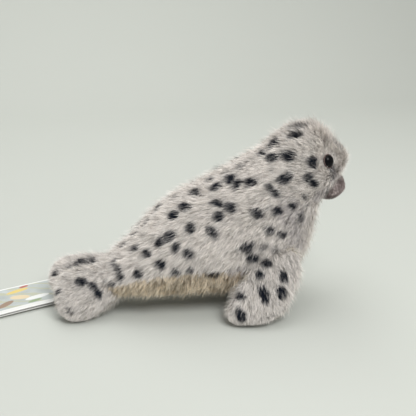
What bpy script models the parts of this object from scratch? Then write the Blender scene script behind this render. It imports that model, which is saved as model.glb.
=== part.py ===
"""A plush seal that rests on its flippers with its head raised.

Lengths are in metres. +X points to the seal's nose, +Y to its left side and +Z up. It rests on z = 0.
The toy is a sewn skin of pile fabric round loose stuffing. Each panel of the skin is a shell as thick as
the backing with its pile laid flat, and each filled part holds one body of stuffing.
"""

import math
from typing import NamedTuple

import bmesh
import bpy
import numpy as np
from mathutils import Matrix, Vector

# Fabrics and clearances
COAT_FABRIC = 0.0045
MUZZLE_FABRIC = 0.0018
SEAM_GAP = 0.0003
ROOT_CLEARANCE = 0.0004
STUFFING_CLEARANCE = 0.0009
FLOOR = 0.0


class Station(NamedTuple):
    """One cross-section of the body: its lowest and highest point as (x, z), and its half width."""

    bottom: tuple
    top: tuple
    half_width: float


# The body from the tail's end to the bridge of the nose. The first and last interval are rounded off.
CROWN_HEIGHT = 0.1665
BODY_STATIONS = (
    Station((-0.0925, 0.0150), (-0.0925, 0.0370), 0.0180),
    Station((-0.0810, 0.0155), (-0.0815, 0.0465), 0.0225),
    Station((-0.0670, 0.0155), (-0.0700, 0.0570), 0.0285),
    Station((-0.0480, 0.0150), (-0.0560, 0.0695), 0.0340),
    Station((-0.0250, 0.0140), (-0.0405, 0.0890), 0.0385),
    Station((0.0000, 0.0130), (-0.0185, 0.1050), 0.0415),
    Station((0.0280, 0.0120), (0.0035, 0.1165), 0.0430),
    Station((0.0560, 0.0120), (0.0255, 0.1275), 0.0430),
    Station((0.0815, 0.0185), (0.0450, 0.1380), 0.0405),
    Station((0.0965, 0.0350), (0.0600, 0.1470), 0.0370),
    Station((0.1040, 0.0530), (0.0730, 0.1560), 0.0340),
    Station((0.1062, 0.0700), (0.0840, CROWN_HEIGHT - 0.0035), 0.0320),
    Station((0.1080, 0.0830), (0.0970, CROWN_HEIGHT), 0.0322),
    Station((0.1105, 0.0905), (0.1110, CROWN_HEIGHT - 0.0025), 0.0320),
    Station((0.1130, 0.1015), (0.1250, 0.1505), 0.0285),
    Station((0.1255, 0.1185), (0.1480, 0.1420), 0.0235),
)
# How far down the flank each station's lower seam lies, where 0 is the back and 1 the belly's middle
LOWER_SEAM = (
    *(0.50, 0.50, 0.50, 0.52, 0.55, 0.58, 0.61, 0.645),
    *(0.69, 0.73, 0.77, 0.81, 0.85, 0.90, 0.97, 0.99),
)
BELLY_MIDDLE = 1.0
BELLY_TO_CHEST_STATION = 7.5
CHEST_END_STATION = 14.0
BELLY_FULLNESS = 0.10
COAT_COLUMNS = 9
UNDERSIDE_COLUMNS = 8
AROUND_COLUMNS = 48
ROWS_PER_STATION = 2
END_ANGLES = (2, 18, 36, 54, 72)

# Muzzle
MUZZLE_CENTRE = Vector((0.1250, 0.0, 0.1045))
MUZZLE_LENGTH_RADIUS = 0.0120
MUZZLE_SIDE_RADIUS = 0.0205
MUZZLE_HEIGHT_RADIUS = 0.0145
MUZZLE_RISE = math.radians(20)
MUZZLE_PAD_BULGE = 0.08
MUZZLE_PAD_AT = math.radians(75)
MUZZLE_PAD_SPREAD = math.radians(40)
MOUTH_AT = math.radians(138)
MUZZLE_OPENING = math.radians(9)
MUZZLE_REACH = math.radians(125)
MUZZLE_ROWS = 9
MUZZLE_COLUMNS = 18
MUZZLE_SIDE_COLUMNS = 7
CHIN_COLUMNS = 5

# Nose
NOSE_HALF_SIZE = Vector((0.0032, 0.0052, 0.0040))
NOSE_SUNK = 0.0010
NOSE_SEGMENTS = 16
NOSE_RINGS = 8

# Eyes: a domed bead on a shank, held by a washer behind the fabric
EYE_STATION = 13.33
EYE_DOWN_FLANK = 0.39
EYE_TURN = math.radians(50)
EYE_LIFT = math.radians(8)
EYE_DIAMETER = 0.0115
EYE_DOME = 0.0040
EYE_DOME_ANGLES = (75, 60, 45, 30, 15, 0)
EYE_RIM = 0.0012
EYE_SUNK = 0.0022
EYE_SHANK_DIAMETER = 0.0034
EYE_SHANK_LENGTH = 0.0115
EYE_WELL_DEPTH = 0.0120
WASHER_DIAMETER = 0.0100
WASHER_THICKNESS = 0.0012
WASHER_DEPTH = 0.0064
TURNED_STEPS = 20


class Flipper(NamedTuple):
    """A stuffed flipper: its middle line from root to tip, and its half sizes along that line."""

    path: tuple
    half_breadths: tuple
    half_thicknesses: tuple
    breadth_direction: tuple
    face_direction: tuple


FRONT_FLIPPER = Flipper(
    path=(
        (0.0710, -0.0180, 0.0700),
        (0.0670, -0.0340, 0.0530),
        (0.0600, -0.0440, 0.0365),
        (0.0495, -0.0515, 0.0190),
        (0.0355, -0.0605, 0.0015),
    ),
    half_breadths=(0.0160, 0.0195, 0.0245, 0.0255, 0.0275),
    half_thicknesses=(0.0085, 0.0085, 0.0085, 0.0085, 0.0075),
    breadth_direction=(1.0, -0.15, 0.05),
    face_direction=(-0.12, -0.83, 0.54),
)
NEAR_REAR_FLIPPER = Flipper(
    path=(
        (-0.0620, -0.0050, 0.0340),
        (-0.0800, -0.0110, 0.0290),
        (-0.0980, -0.0155, 0.0220),
        (-0.1130, -0.0175, 0.0205),
        (-0.1270, -0.0185, 0.0200),
    ),
    half_breadths=(0.0120, 0.0170, 0.0225, 0.0235, 0.0210),
    half_thicknesses=(0.0070, 0.0075, 0.0075, 0.0070, 0.0060),
    breadth_direction=(0.0, -0.49, -0.87),
    face_direction=(0.0, -0.87, 0.49),
)
FAR_REAR_FLIPPER = Flipper(
    path=(
        (-0.0620, 0.0050, 0.0330),
        (-0.0800, 0.0150, 0.0285),
        (-0.1000, 0.0225, 0.0240),
        (-0.1170, 0.0240, 0.0215),
        (-0.1350, 0.0235, 0.0210),
    ),
    half_breadths=(0.0120, 0.0165, 0.0215, 0.0225, 0.0195),
    half_thicknesses=(0.0070, 0.0075, 0.0075, 0.0070, 0.0060),
    breadth_direction=(0.0, -0.93, -0.36),
    face_direction=(0.0, -0.36, 0.93),
)
FLIPPER_COLUMNS = 8
FLIPPER_ROWS_PER_STATION = 2
FLIPPER_TIP_ANGLES = (75, 54, 33, 12)
FLIPPER_STUFFING_TIP_ANGLES = (75, 60, 45, 30)
FLIPPER_SECTION_POWER = 2.2
FLIPPER_SECTION_ROUNDING = 0.6
FLIPPER_EDGE_THINNING = 0.5
FLIPPER_EDGE_POWER = 6
FLIPPER_STUFFING_INSET = 0.0035

# Swing tag: a card folded once, with a loop that ties it to the tail
TAG_LENGTH = 0.090
TAG_WIDTH = 0.055
TAG_CARD = 0.0005
TAG_OPENING = 0.0006
TAG_TURN = math.radians(21)
TAG_CORNER = Vector((-0.1030, 0.0180, 0.0))
TAG_HOLE_PLAY = 0.0004
TAG_HOLE_INSET = 0.0060
TAG_FOLD_STEPS = 6
LOOP_DIAMETER = 0.0011
LOOP_RISE = 0.0048
LOOP_STATION = 0.3
LOOP_POINTS = 16
LOOP_BENDS = (0.7, 0.25, 0.8, 0.35)

COAT = ((0.62, 0.55, 0.50), 0.9, 0.0)
BELLY = ((0.60, 0.47, 0.34), 0.9, 0.0)
PALE_PILE = ((0.62, 0.56, 0.52), 0.9, 0.0)
SHORT_PILE = ((0.33, 0.24, 0.24), 0.85, 0.0)
STUFFING = ((0.86, 0.86, 0.84), 0.95, 0.0)
EYE_PLASTIC = ((0.008, 0.008, 0.009), 0.08, 0.0)
NOSE_PLASTIC = ((0.02, 0.015, 0.014), 0.35, 0.0)
WASHER_PLASTIC = ((0.75, 0.75, 0.73), 0.4, 0.0)
CARD = ((0.72, 0.74, 0.72), 0.5, 0.0)
NYLON = ((0.80, 0.80, 0.78), 0.3, 0.0)


def clear_scene():
    for old in list(bpy.data.objects):
        bpy.data.objects.remove(old, do_unlink=True)


def collection(name):
    made = bpy.data.collections.new(name)
    bpy.context.scene.collection.children.link(made)
    return made


def material(name, look):
    colour, roughness, metallic = look
    made = bpy.data.materials.new(name)
    made.use_nodes = True
    shader = made.node_tree.nodes["Principled BSDF"]
    shader.inputs["Base Color"].default_value = (*colour, 1.0)
    shader.inputs["Roughness"].default_value = roughness
    shader.inputs["Metallic"].default_value = metallic
    return made


def mesh_object(name, points, faces, into, look=None):
    mesh = bpy.data.meshes.new(name)
    mesh.from_pydata([tuple(point) for point in points], [], faces)
    mesh.validate()
    made = bpy.data.objects.new(name, mesh)
    into.objects.link(made)
    finish(made, look)
    return made


def finish(made, look):
    """Gives a part its material and smooth shading, or marks a cutter, which has no look."""
    if look is None:
        made.hide_render = True
        made.display_type = "WIRE"
    else:
        made.data.materials.append(material(made.name, look))
        made.data.shade_smooth()


def cut(made, *cutters):
    for cutter in cutters:
        boolean = made.modifiers.new("clear_of_" + cutter.name, "BOOLEAN")
        boolean.operation = "DIFFERENCE"
        boolean.object = cutter
    return made


def smooth(values, at):
    """Reads a smooth curve through the values, which lie at 0, 1, 2 and so on, at each position."""
    values = np.asarray(values, float)
    before = 2 * values[:1] - values[1:2]
    after = 2 * values[-1:] - values[-2:-1]
    padded = np.concatenate([before, values, after])
    at = np.asarray(at, float)
    step = np.clip(np.floor(at).astype(int), 0, len(values) - 2)
    t = (at - step).reshape(at.shape + (1,) * (values.ndim - 1))
    p0, p1, p2, p3 = (padded[step + k] for k in range(4))
    return p1 + 0.5 * t * (p2 - p0 + t * (2 * p0 - 5 * p1 + 4 * p2 - p3 + t * (3 * (p1 - p2) + p3 - p0)))


def unit(vectors):
    return vectors / np.linalg.norm(vectors, axis=-1, keepdims=True)


def offset(surface, along, across, depth):
    """Points of a surface moved inwards by depth along its own normal. A negative depth moves them out."""
    step = 1e-4
    ahead = surface(along + step, across) - surface(along - step, across)
    aside = surface(along, across + step) - surface(along, across - step)
    return surface(along, across) - depth * unit(np.cross(ahead, aside))


def grid_faces(rows, columns, first, flip):
    """Four-sided faces between neighbouring rows and columns of points numbered from first."""
    faces = []
    for row in range(rows - 1):
        for column in range(columns - 1):
            a = first + row * columns + column
            face = (a, a + columns, a + columns + 1, a + 1)
            faces.append(face[::-1] if flip else face)
    return faces


def wall(here, following, inward):
    """Two triangles from an outer edge to the inner one. Panels that meet split their walls the same way."""
    if here < following:
        return [(following, here, following + inward), (here, here + inward, following + inward)]
    return [(following, here, here + inward), (following, here + inward, following + inward)]


def shell(name, outer, inner, into, look):
    """A panel of fabric: two grids of points, face to face, closed round their border."""
    rows, columns = outer.shape[:2]
    size = rows * columns
    faces = grid_faces(rows, columns, 0, False) + grid_faces(rows, columns, size, True)
    border = [row * columns for row in range(rows)]
    border += [(rows - 1) * columns + column for column in range(1, columns)]
    border += [row * columns + columns - 1 for row in range(rows - 2, -1, -1)]
    border += list(range(columns - 2, 0, -1))
    for here, following in zip(border, border[1:] + border[:1]):
        faces += wall(here, following, size)
    return mesh_object(name, np.concatenate([outer, inner]).reshape(-1, 3), faces, into, look)


def closed_round(name, rings, into, look=None):
    """A solid through rings of points, which run all the way round, with a flat face at each end."""
    rows, columns = rings.shape[:2]
    faces = []
    for row in range(rows - 1):
        for column in range(columns):
            beside = (column + 1) % columns
            a, b = row * columns + column, row * columns + beside
            faces.append((a, a + columns, b + columns, b))
    faces.append(tuple(range(columns)))
    faces.append(tuple((rows - 1) * columns + column for column in reversed(range(columns))))
    return mesh_object(name, rings.reshape(-1, 3), faces, into, look)


def body_surface(along, across):
    """The pile's outer surface. along counts stations, and across runs from the back, 0, to the belly, 1."""
    bottoms = smooth([station.bottom for station in BODY_STATIONS], along)
    tops = smooth([station.top for station in BODY_STATIONS], along)
    half_width = smooth([station.half_width for station in BODY_STATIONS], along)
    last = len(BODY_STATIONS) - 1
    end = np.clip(1 - np.minimum(along, last - along), 0, 1)
    rounding = np.sqrt(np.maximum(1 - end**2, 1e-9))
    middle = (bottoms + tops) / 2
    angle = math.pi * across
    up = rounding * np.cos(angle)
    side = rounding * half_width * np.sin(angle) * (1 - BELLY_FULLNESS * np.cos(angle))
    x = middle[..., 0] + up * (tops - bottoms)[..., 0] / 2
    z = middle[..., 1] + up * (tops - bottoms)[..., 1] / 2
    return np.stack([x, side, z], axis=-1)


def body_rows(first, last):
    """Row positions along the body, closer together where its ends are rounded off."""
    end = len(BODY_STATIONS) - 1
    turn = [1 - math.cos(math.radians(angle)) for angle in END_ANGLES]
    between = list(np.linspace(1, end - 1, ROWS_PER_STATION * (end - 2) + 1))
    rows = turn + between + [end - share for share in turn[::-1]]
    return np.array([row for row in rows if first <= row <= last])


def seam_inset(along, across):
    """Half a seam gap, as a share of the way round the body."""
    step = 1e-3
    round_body = body_surface(along, across + step) - body_surface(along, across - step)
    return SEAM_GAP * step / np.linalg.norm(round_body, axis=-1)


def body_panel(name, rows, from_across, to_across, columns, into, look):
    low = from_across + seam_inset(rows, from_across)
    high = to_across - seam_inset(rows, to_across)
    share = np.linspace(0, 1, columns + 1)
    across = low[:, None] * (1 - share) + high[:, None] * share
    along = np.broadcast_to(rows[:, None], across.shape)
    outer = offset(body_surface, along, across, 0.0)
    inner = offset(body_surface, along, across, COAT_FABRIC)
    return shell(name, outer, inner, into, look)


def body_solid(name, depth, columns, into, look=None):
    rows = body_rows(0, len(BODY_STATIONS))
    across = np.linspace(0, 2, columns, endpoint=False)
    along, across = np.meshgrid(rows, across, indexing="ij")
    return closed_round(name, offset(body_surface, along, across, depth), into, look)


def make_body(parts, cutters):
    rows = body_rows(0, len(BODY_STATIONS))
    seam = smooth(LOWER_SEAM, rows)
    back = np.zeros_like(rows)
    coat_left = body_panel("coat_left", rows, back, seam, COAT_COLUMNS, parts, COAT)
    coat_right = body_panel("coat_right", rows, -seam, back, COAT_COLUMNS, parts, COAT)
    for name, low, high, look in (
        ("belly_panel", 0.0, BELLY_TO_CHEST_STATION, BELLY),
        ("chest_panel", BELLY_TO_CHEST_STATION, CHEST_END_STATION, PALE_PILE),
    ):
        inside = body_rows(low, high)
        if low > 0:
            ahead, here = body_surface(low + 1, BELLY_MIDDLE), body_surface(low, BELLY_MIDDLE)
            station_length = np.linalg.norm(ahead - here)
            inside[0] = low + SEAM_GAP / station_length
        edge = smooth(LOWER_SEAM, inside)
        body_panel(name, inside, edge, 2 * BELLY_MIDDLE - edge, UNDERSIDE_COLUMNS, parts, look)
    below_fabric = COAT_FABRIC + STUFFING_CLEARANCE
    stuffing = body_solid("body_stuffing", below_fabric, AROUND_COLUMNS // 2, parts, STUFFING)
    clear_body = body_solid("body_outline", -ROOT_CLEARANCE, AROUND_COLUMNS, cutters)
    return coat_left, coat_right, stuffing, clear_body


def muzzle_axes():
    forward = Vector((math.cos(MUZZLE_RISE), 0, math.sin(MUZZLE_RISE)))
    upward = Vector((-math.sin(MUZZLE_RISE), 0, math.cos(MUZZLE_RISE)))
    return np.array(forward), np.array(upward)


def muzzle_surface(ahead, around):
    """The muzzle's outer surface.

    ahead is the angle from its rearmost point, and around starts at the top.
    """
    forward, upward = muzzle_axes()
    back = math.pi - ahead
    from_top = np.abs(np.mod(around + math.pi, 2 * math.pi) - math.pi)
    pad = np.exp(-(((from_top - MUZZLE_PAD_AT) / MUZZLE_PAD_SPREAD) ** 2))
    swell = 1 + MUZZLE_PAD_BULGE * pad * np.sin(back) ** 2
    reach = MUZZLE_LENGTH_RADIUS * np.cos(back)
    up = MUZZLE_HEIGHT_RADIUS * swell * np.sin(back) * np.cos(around)
    side = MUZZLE_SIDE_RADIUS * swell * np.sin(back) * np.sin(around)
    points = reach[..., None] * forward + up[..., None] * upward + side[..., None] * np.array((0, 1.0, 0))
    return np.array(MUZZLE_CENTRE) + points


def muzzle_panel(name, low, high, columns, into):
    gap = SEAM_GAP / MUZZLE_HEIGHT_RADIUS
    ahead = np.linspace(math.pi - MUZZLE_REACH, math.pi - MUZZLE_OPENING, MUZZLE_ROWS)
    inset = np.minimum(gap / np.sin(ahead), (high - low) / 4)
    share = np.linspace(0, 1, columns + 1)
    around = (low + inset)[:, None] * (1 - share) + (high - inset)[:, None] * share
    ahead = np.broadcast_to(ahead[:, None], around.shape)
    outer = offset(muzzle_surface, ahead, around, 0.0)
    inner = offset(muzzle_surface, ahead, around, MUZZLE_FABRIC)
    return shell(name, outer, inner, into, SHORT_PILE)


def ball(name, centre, half_size, into, look=None):
    mesh = bpy.data.meshes.new(name)
    shape = bmesh.new()
    bmesh.ops.create_uvsphere(shape, u_segments=NOSE_SEGMENTS, v_segments=NOSE_RINGS, radius=1.0)
    bmesh.ops.scale(shape, vec=half_size, verts=shape.verts)
    shape.to_mesh(mesh)
    shape.free()
    made = bpy.data.objects.new(name, mesh)
    made.location = centre
    made.rotation_euler = (0, -MUZZLE_RISE, 0)
    into.objects.link(made)
    finish(made, look)
    return made


def make_muzzle(parts, cutters, clear_body):
    forward, _ = muzzle_axes()
    nose_at = MUZZLE_CENTRE + Vector(forward) * (MUZZLE_LENGTH_RADIUS - NOSE_SUNK)
    ball("nose", nose_at, NOSE_HALF_SIZE, parts, NOSE_PLASTIC)
    clear_nose = ball("nose_seat", nose_at, NOSE_HALF_SIZE + Vector((SEAM_GAP,) * 3), cutters)
    panels = [
        muzzle_panel("muzzle_left", 0.0, MOUTH_AT, MUZZLE_SIDE_COLUMNS, parts),
        muzzle_panel("muzzle_right", -MOUTH_AT, 0.0, MUZZLE_SIDE_COLUMNS, parts),
        muzzle_panel("chin", MOUTH_AT, 2 * math.pi - MOUTH_AT, CHIN_COLUMNS, parts),
    ]
    ahead = np.linspace(math.pi - MUZZLE_REACH, math.pi - MUZZLE_OPENING, MUZZLE_ROWS)
    around = np.linspace(0, 2 * math.pi, MUZZLE_COLUMNS, endpoint=False)
    ahead, around = np.meshgrid(ahead, around, indexing="ij")
    rings = offset(muzzle_surface, ahead, around, MUZZLE_FABRIC + STUFFING_CLEARANCE)
    panels.append(closed_round("muzzle_stuffing", rings, parts, STUFFING))
    for panel in panels:
        cut(panel, clear_body, clear_nose)


def turned(name, profile, place, into, look=None):
    """A solid of revolution round its own Z axis.

    The profile runs down its outer side, or is a closed ring.
    """
    mesh = bpy.data.meshes.new(name)
    ring = profile[0] == profile[-1]
    points = profile[:-1] if ring else profile
    edges = [(k, (k + 1) % len(points)) for k in range(len(profile) - 1)]
    mesh.from_pydata([(radius, 0, height) for radius, height in points], edges, [])
    made = bpy.data.objects.new(name, mesh)
    into.objects.link(made)
    screw = made.modifiers.new("turn", "SCREW")
    screw.steps = screw.render_steps = TURNED_STEPS
    screw.use_merge_vertices = True
    screw.merge_threshold = 0.00001
    screw.use_smooth_shade = True
    made.matrix_world = place
    finish(made, look)
    return made


def eye_profile(grow):
    radius = EYE_DIAMETER / 2 + grow
    dome = [math.radians(angle) for angle in EYE_DOME_ANGLES]
    points = [(0.0, EYE_DOME + grow)]
    points += [(radius * math.cos(angle), (EYE_DOME + grow) * math.sin(angle)) for angle in dome]
    shank = EYE_SHANK_DIAMETER / 2 + grow
    base = -EYE_RIM - grow
    end = -EYE_SHANK_LENGTH - grow
    return points + [(radius, base), (shank, base), (shank, end), (0.0, end)]


def eye_well_profile():
    """The eye with its clearance, carried straight out so that no fabric lies over the dome."""
    radius = EYE_DIAMETER / 2 + SEAM_GAP
    below = [point for point in eye_profile(SEAM_GAP) if point[1] < 0]
    return [(0.0, EYE_WELL_DEPTH), (radius, EYE_WELL_DEPTH)] + below


def washer_profile():
    inner = EYE_SHANK_DIAMETER / 2 + SEAM_GAP
    outer = WASHER_DIAMETER / 2
    front, back = -WASHER_DEPTH, -WASHER_DEPTH - WASHER_THICKNESS
    return [(inner, front), (outer, front), (outer, back), (inner, back), (inner, front)]


def eye_pocket_profile():
    """The hollow that the washer and the shank press into the stuffing, open to the outside."""
    outer = WASHER_DIAMETER / 2 + SEAM_GAP
    shank = EYE_SHANK_DIAMETER / 2 + SEAM_GAP
    back = -WASHER_DEPTH - WASHER_THICKNESS - SEAM_GAP
    end = -EYE_SHANK_LENGTH - SEAM_GAP
    top = [(0.0, EYE_WELL_DEPTH), (outer, EYE_WELL_DEPTH), (outer, back)]
    return top + [(shank, back), (shank, end), (0.0, end)]


def make_eye(side, sign, coat, stuffing, parts, cutters):
    seat = Vector(body_surface(np.array(EYE_STATION), np.array(sign * EYE_DOWN_FLANK)))
    outward = Vector((
        math.cos(EYE_TURN) * math.cos(EYE_LIFT),
        sign * math.sin(EYE_TURN) * math.cos(EYE_LIFT),
        math.sin(EYE_LIFT),
    ))
    turn = outward.to_track_quat("Z", "Y").to_matrix().to_4x4()
    place = Matrix.Translation(seat - outward * EYE_SUNK) @ turn
    turned("eye_" + side, eye_profile(0.0), place, parts, EYE_PLASTIC)
    well = turned("eye_well_" + side, eye_well_profile(), place, cutters)
    turned("eye_washer_" + side, washer_profile(), place, parts, WASHER_PLASTIC)
    pocket = turned("eye_pocket_" + side, eye_pocket_profile(), place, cutters)
    cut(coat, well)
    cut(stuffing, pocket)


def flipper_rows(flipper, tip_angles):
    """Row positions from the root to the tip, closer together in the last interval, which is rounded off."""
    last = len(flipper.path) - 1
    rows = list(np.linspace(0, last - 1, FLIPPER_ROWS_PER_STATION * (last - 1) + 1))
    return np.array(rows + [last - 1 + math.cos(math.radians(angle)) for angle in tip_angles])


def flipper_points(flipper, rows, share, side, inset, lift):
    """A grid on one side of a flipper. side is 1 for the face and -1 for the underside."""
    middle = smooth(flipper.path, rows)
    tangent = unit(smooth(flipper.path, rows + 1e-3) - smooth(flipper.path, rows - 1e-3))
    broad = np.broadcast_to(unit(np.array(flipper.breadth_direction)), tangent.shape)
    facing = unit(np.cross(broad, tangent))
    facing = facing * np.sign(facing @ np.array(flipper.face_direction))[:, None]
    last = len(flipper.path) - 1
    rounding = np.sqrt(1 - np.clip(rows - (last - 1), 0, 0.999) ** 2)
    half_breadth = rounding * smooth(flipper.half_breadths, rows)
    half_thickness = rounding * smooth(flipper.half_thicknesses, rows)
    reach = (half_breadth - inset) / half_breadth
    across = reach[:, None] * share[None, :]
    section = (1 - np.abs(across) ** FLIPPER_SECTION_POWER) ** FLIPPER_SECTION_ROUNDING
    height = half_thickness[:, None] * section + lift(across)
    sideways = (half_breadth[:, None] * across)[..., None] * broad[:, None, :]
    return middle[:, None, :] + sideways + side * height[..., None] * facing[:, None, :]


def flipper_shell(name, flipper, side, into, look):
    rows = flipper_rows(flipper, FLIPPER_TIP_ANGLES)
    share = np.sin(np.linspace(-math.pi / 2, math.pi / 2, FLIPPER_COLUMNS + 1))

    def outside(across):
        thinning = FLIPPER_EDGE_THINNING * np.abs(across) ** FLIPPER_EDGE_POWER
        return SEAM_GAP / 2 + COAT_FABRIC * (1 - thinning)

    def inside(across):
        return np.full_like(across, SEAM_GAP / 2)

    outer = flipper_points(flipper, rows, share, side, 0.0, outside)
    inner = flipper_points(flipper, rows, share, side, 0.0, inside)
    made = shell(name, outer, inner, into, look)
    face_out(made)
    return made


def face_out(made):
    """Turns a closed mesh's faces to point out of it."""
    shape = bmesh.new()
    shape.from_mesh(made.data)
    if shape.calc_volume(signed=True) < 0:
        bmesh.ops.reverse_faces(shape, faces=shape.faces)
    shape.to_mesh(made.data)
    shape.free()


def flipper_stuffing(name, flipper, into):
    rows = flipper_rows(flipper, FLIPPER_STUFFING_TIP_ANGLES)
    share = np.sin(np.linspace(-math.pi / 2, math.pi / 2, FLIPPER_COLUMNS + 1))

    def below_fabric(across):
        return np.full_like(across, SEAM_GAP / 2 - STUFFING_CLEARANCE)

    top = flipper_points(flipper, rows, share, 1, FLIPPER_STUFFING_INSET, below_fabric)
    bottom = flipper_points(flipper, rows, share, -1, FLIPPER_STUFFING_INSET, below_fabric)
    made = shell(name, top, bottom, into, STUFFING)
    face_out(made)
    return made


def mirrored(flipper):
    """The same flipper on the other side of the body."""
    return flipper._replace(
        path=tuple((x, -y, z) for x, y, z in flipper.path),
        breadth_direction=tuple(np.array(flipper.breadth_direction) * (1, -1, 1)),
        face_direction=tuple(np.array(flipper.face_direction) * (1, -1, 1)),
    )


def floor_box(cutters):
    """A box below the floor that reaches well past every flipper."""
    points = FRONT_FLIPPER.path + NEAR_REAR_FLIPPER.path
    size = 4 * max(abs(coordinate) for point in points for coordinate in point)
    bpy.ops.mesh.primitive_cube_add(size=size, location=(0, 0, FLOOR - size / 2))
    made = bpy.context.object
    made.name = "below_floor"
    for holder in made.users_collection:
        holder.objects.unlink(made)
    cutters.objects.link(made)
    finish(made, None)
    return made


def make_flippers(parts, cutters, clear_body):
    below_floor = floor_box(cutters)
    for name, flipper, on_floor in (
        ("front_flipper_right", FRONT_FLIPPER, True),
        ("front_flipper_left", mirrored(FRONT_FLIPPER), True),
        ("rear_flipper_right", NEAR_REAR_FLIPPER, True),
        ("rear_flipper_left", FAR_REAR_FLIPPER, False),
    ):
        top = flipper_shell(name + "_top", flipper, 1, parts, COAT)
        underside = flipper_shell(name + "_underside", flipper, -1, parts, PALE_PILE)
        stuffing = flipper_stuffing(name + "_stuffing", flipper, parts)
        for piece in (top, underside, stuffing):
            cut(piece, clear_body)
        if on_floor:
            cut(top, below_floor)
            cut(underside, below_floor)


def tag_place():
    return Matrix.Translation(TAG_CORNER) @ Matrix.Rotation(TAG_TURN, 4, "Z")


def make_tag(parts, cutters):
    """A card folded along its far long edge, lying flat, with a hole near its corner by the tail."""
    outer_radius = TAG_CARD + TAG_OPENING / 2
    turns = [math.pi * step / TAG_FOLD_STEPS for step in range(TAG_FOLD_STEPS + 1)]
    middle_radius = outer_radius - TAG_CARD / 2
    fold_at = TAG_WIDTH - outer_radius
    fold = [
        (fold_at + middle_radius * math.sin(turn), outer_radius - middle_radius * math.cos(turn))
        for turn in turns
    ]
    path = [(0.0, TAG_CARD / 2)] + fold + [(0.0, 2 * outer_radius - TAG_CARD / 2)]
    points = [(x, y, z) for y, z in path for x in (-TAG_LENGTH, 0.0)]
    faces = [(2 * k, 2 * k + 2, 2 * k + 3, 2 * k + 1) for k in range(len(path) - 1)]
    tag = mesh_object("swing_tag", points, faces, parts, CARD)
    tag.matrix_world = tag_place()
    card = tag.modifiers.new("card", "SOLIDIFY")
    card.thickness = TAG_CARD
    card.offset = 0.0
    card.use_even_offset = True
    hole_radius = LOOP_DIAMETER / 2 + TAG_HOLE_PLAY
    past = 4 * outer_radius
    profile = [(0.0, past), (hole_radius, past), (hole_radius, -past), (0.0, -past)]
    hole = turned("tag_hole", profile, tag_hole_place(), cutters)
    cut(tag, hole)


def tag_hole_place():
    return tag_place() @ Matrix.Translation((-TAG_HOLE_INSET, TAG_HOLE_INSET, 0))


def make_tag_loop(parts):
    """A stiff loop of nylon from the tail's end seam down through the tag's hole."""
    hole = tag_hole_place().translation
    clear = LOOP_DIAMETER / 2 + SEAM_GAP
    start = Vector(offset(body_surface, np.array(LOOP_STATION), np.array(BELLY_MIDDLE), -clear))
    above = Vector((hole.x, hole.y, LOOP_RISE))
    end = Vector((hole.x, hole.y, LOOP_DIAMETER))
    below_tail = Vector((start.x, start.y, LOOP_RISE))
    down, near_tail, near_hole, past_bend = LOOP_BENDS
    route = [start, start.lerp(below_tail, down)]
    route += [below_tail.lerp(above, near_tail), below_tail.lerp(above, near_hole)]
    route += [above.lerp(end, past_bend), end]
    curve = bpy.data.curves.new("tag_loop", "CURVE")
    curve.dimensions = "3D"
    curve.bevel_depth = LOOP_DIAMETER / 2
    curve.bevel_resolution = 2
    curve.use_fill_caps = True
    at = np.linspace(0, len(route) - 1, LOOP_POINTS)
    points = smooth([tuple(point) for point in route], at)
    spline = curve.splines.new("POLY")
    spline.points.add(len(points) - 1)
    for place, point in zip(spline.points, points):
        place.co = (*point, 1.0)
    made = bpy.data.objects.new("tag_loop", curve)
    made.data.materials.append(material("tag_loop", NYLON))
    parts.objects.link(made)


def centre_on_origin(parts, cutters):
    """Puts the origin on the floor under the middle of the whole toy's box, tag included."""
    bpy.context.view_layer.update()
    graph = bpy.context.evaluated_depsgraph_get()
    points = []
    for made in parts.objects:
        mesh = made.evaluated_get(graph).to_mesh()
        points += [made.matrix_world @ vertex.co for vertex in mesh.vertices]
    points = np.array(points)
    middle = (points.min(axis=0) + points.max(axis=0)) / 2
    holder = bpy.data.objects.new("seal_origin", None)
    bpy.context.scene.collection.objects.link(holder)
    holder.location = (-middle[0], -middle[1], FLOOR)
    for made in list(parts.objects) + list(cutters.objects):
        made.parent = holder


def main():
    clear_scene()
    parts = collection("plush_seal")
    cutters = collection("cutters")
    coat_left, coat_right, stuffing, clear_body = make_body(parts, cutters)
    make_muzzle(parts, cutters, clear_body)
    make_eye("left", 1, coat_left, stuffing, parts, cutters)
    make_eye("right", -1, coat_right, stuffing, parts, cutters)
    make_flippers(parts, cutters, clear_body)
    make_tag(parts, cutters)
    make_tag_loop(parts)
    centre_on_origin(parts, cutters)


main()
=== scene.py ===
"""The looks of a plush seal: standing pile with spots, domed eyes, a folded card tag and a plain studio.

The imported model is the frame, in metres, with +X towards the nose and +Z up. Each panel of fabric in it is
a shell as thick as its backing with the pile laid flat. Here the shell is pressed in to the backing alone,
and blades of pile grow from it as real geometry.
"""

import logging
import math
from dataclasses import dataclass, field
from enum import Enum

import bmesh
import bpy
import numpy as np
from mathutils import Matrix, Vector
from mathutils.bvhtree import BVHTree
from mathutils.kdtree import KDTree


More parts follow.
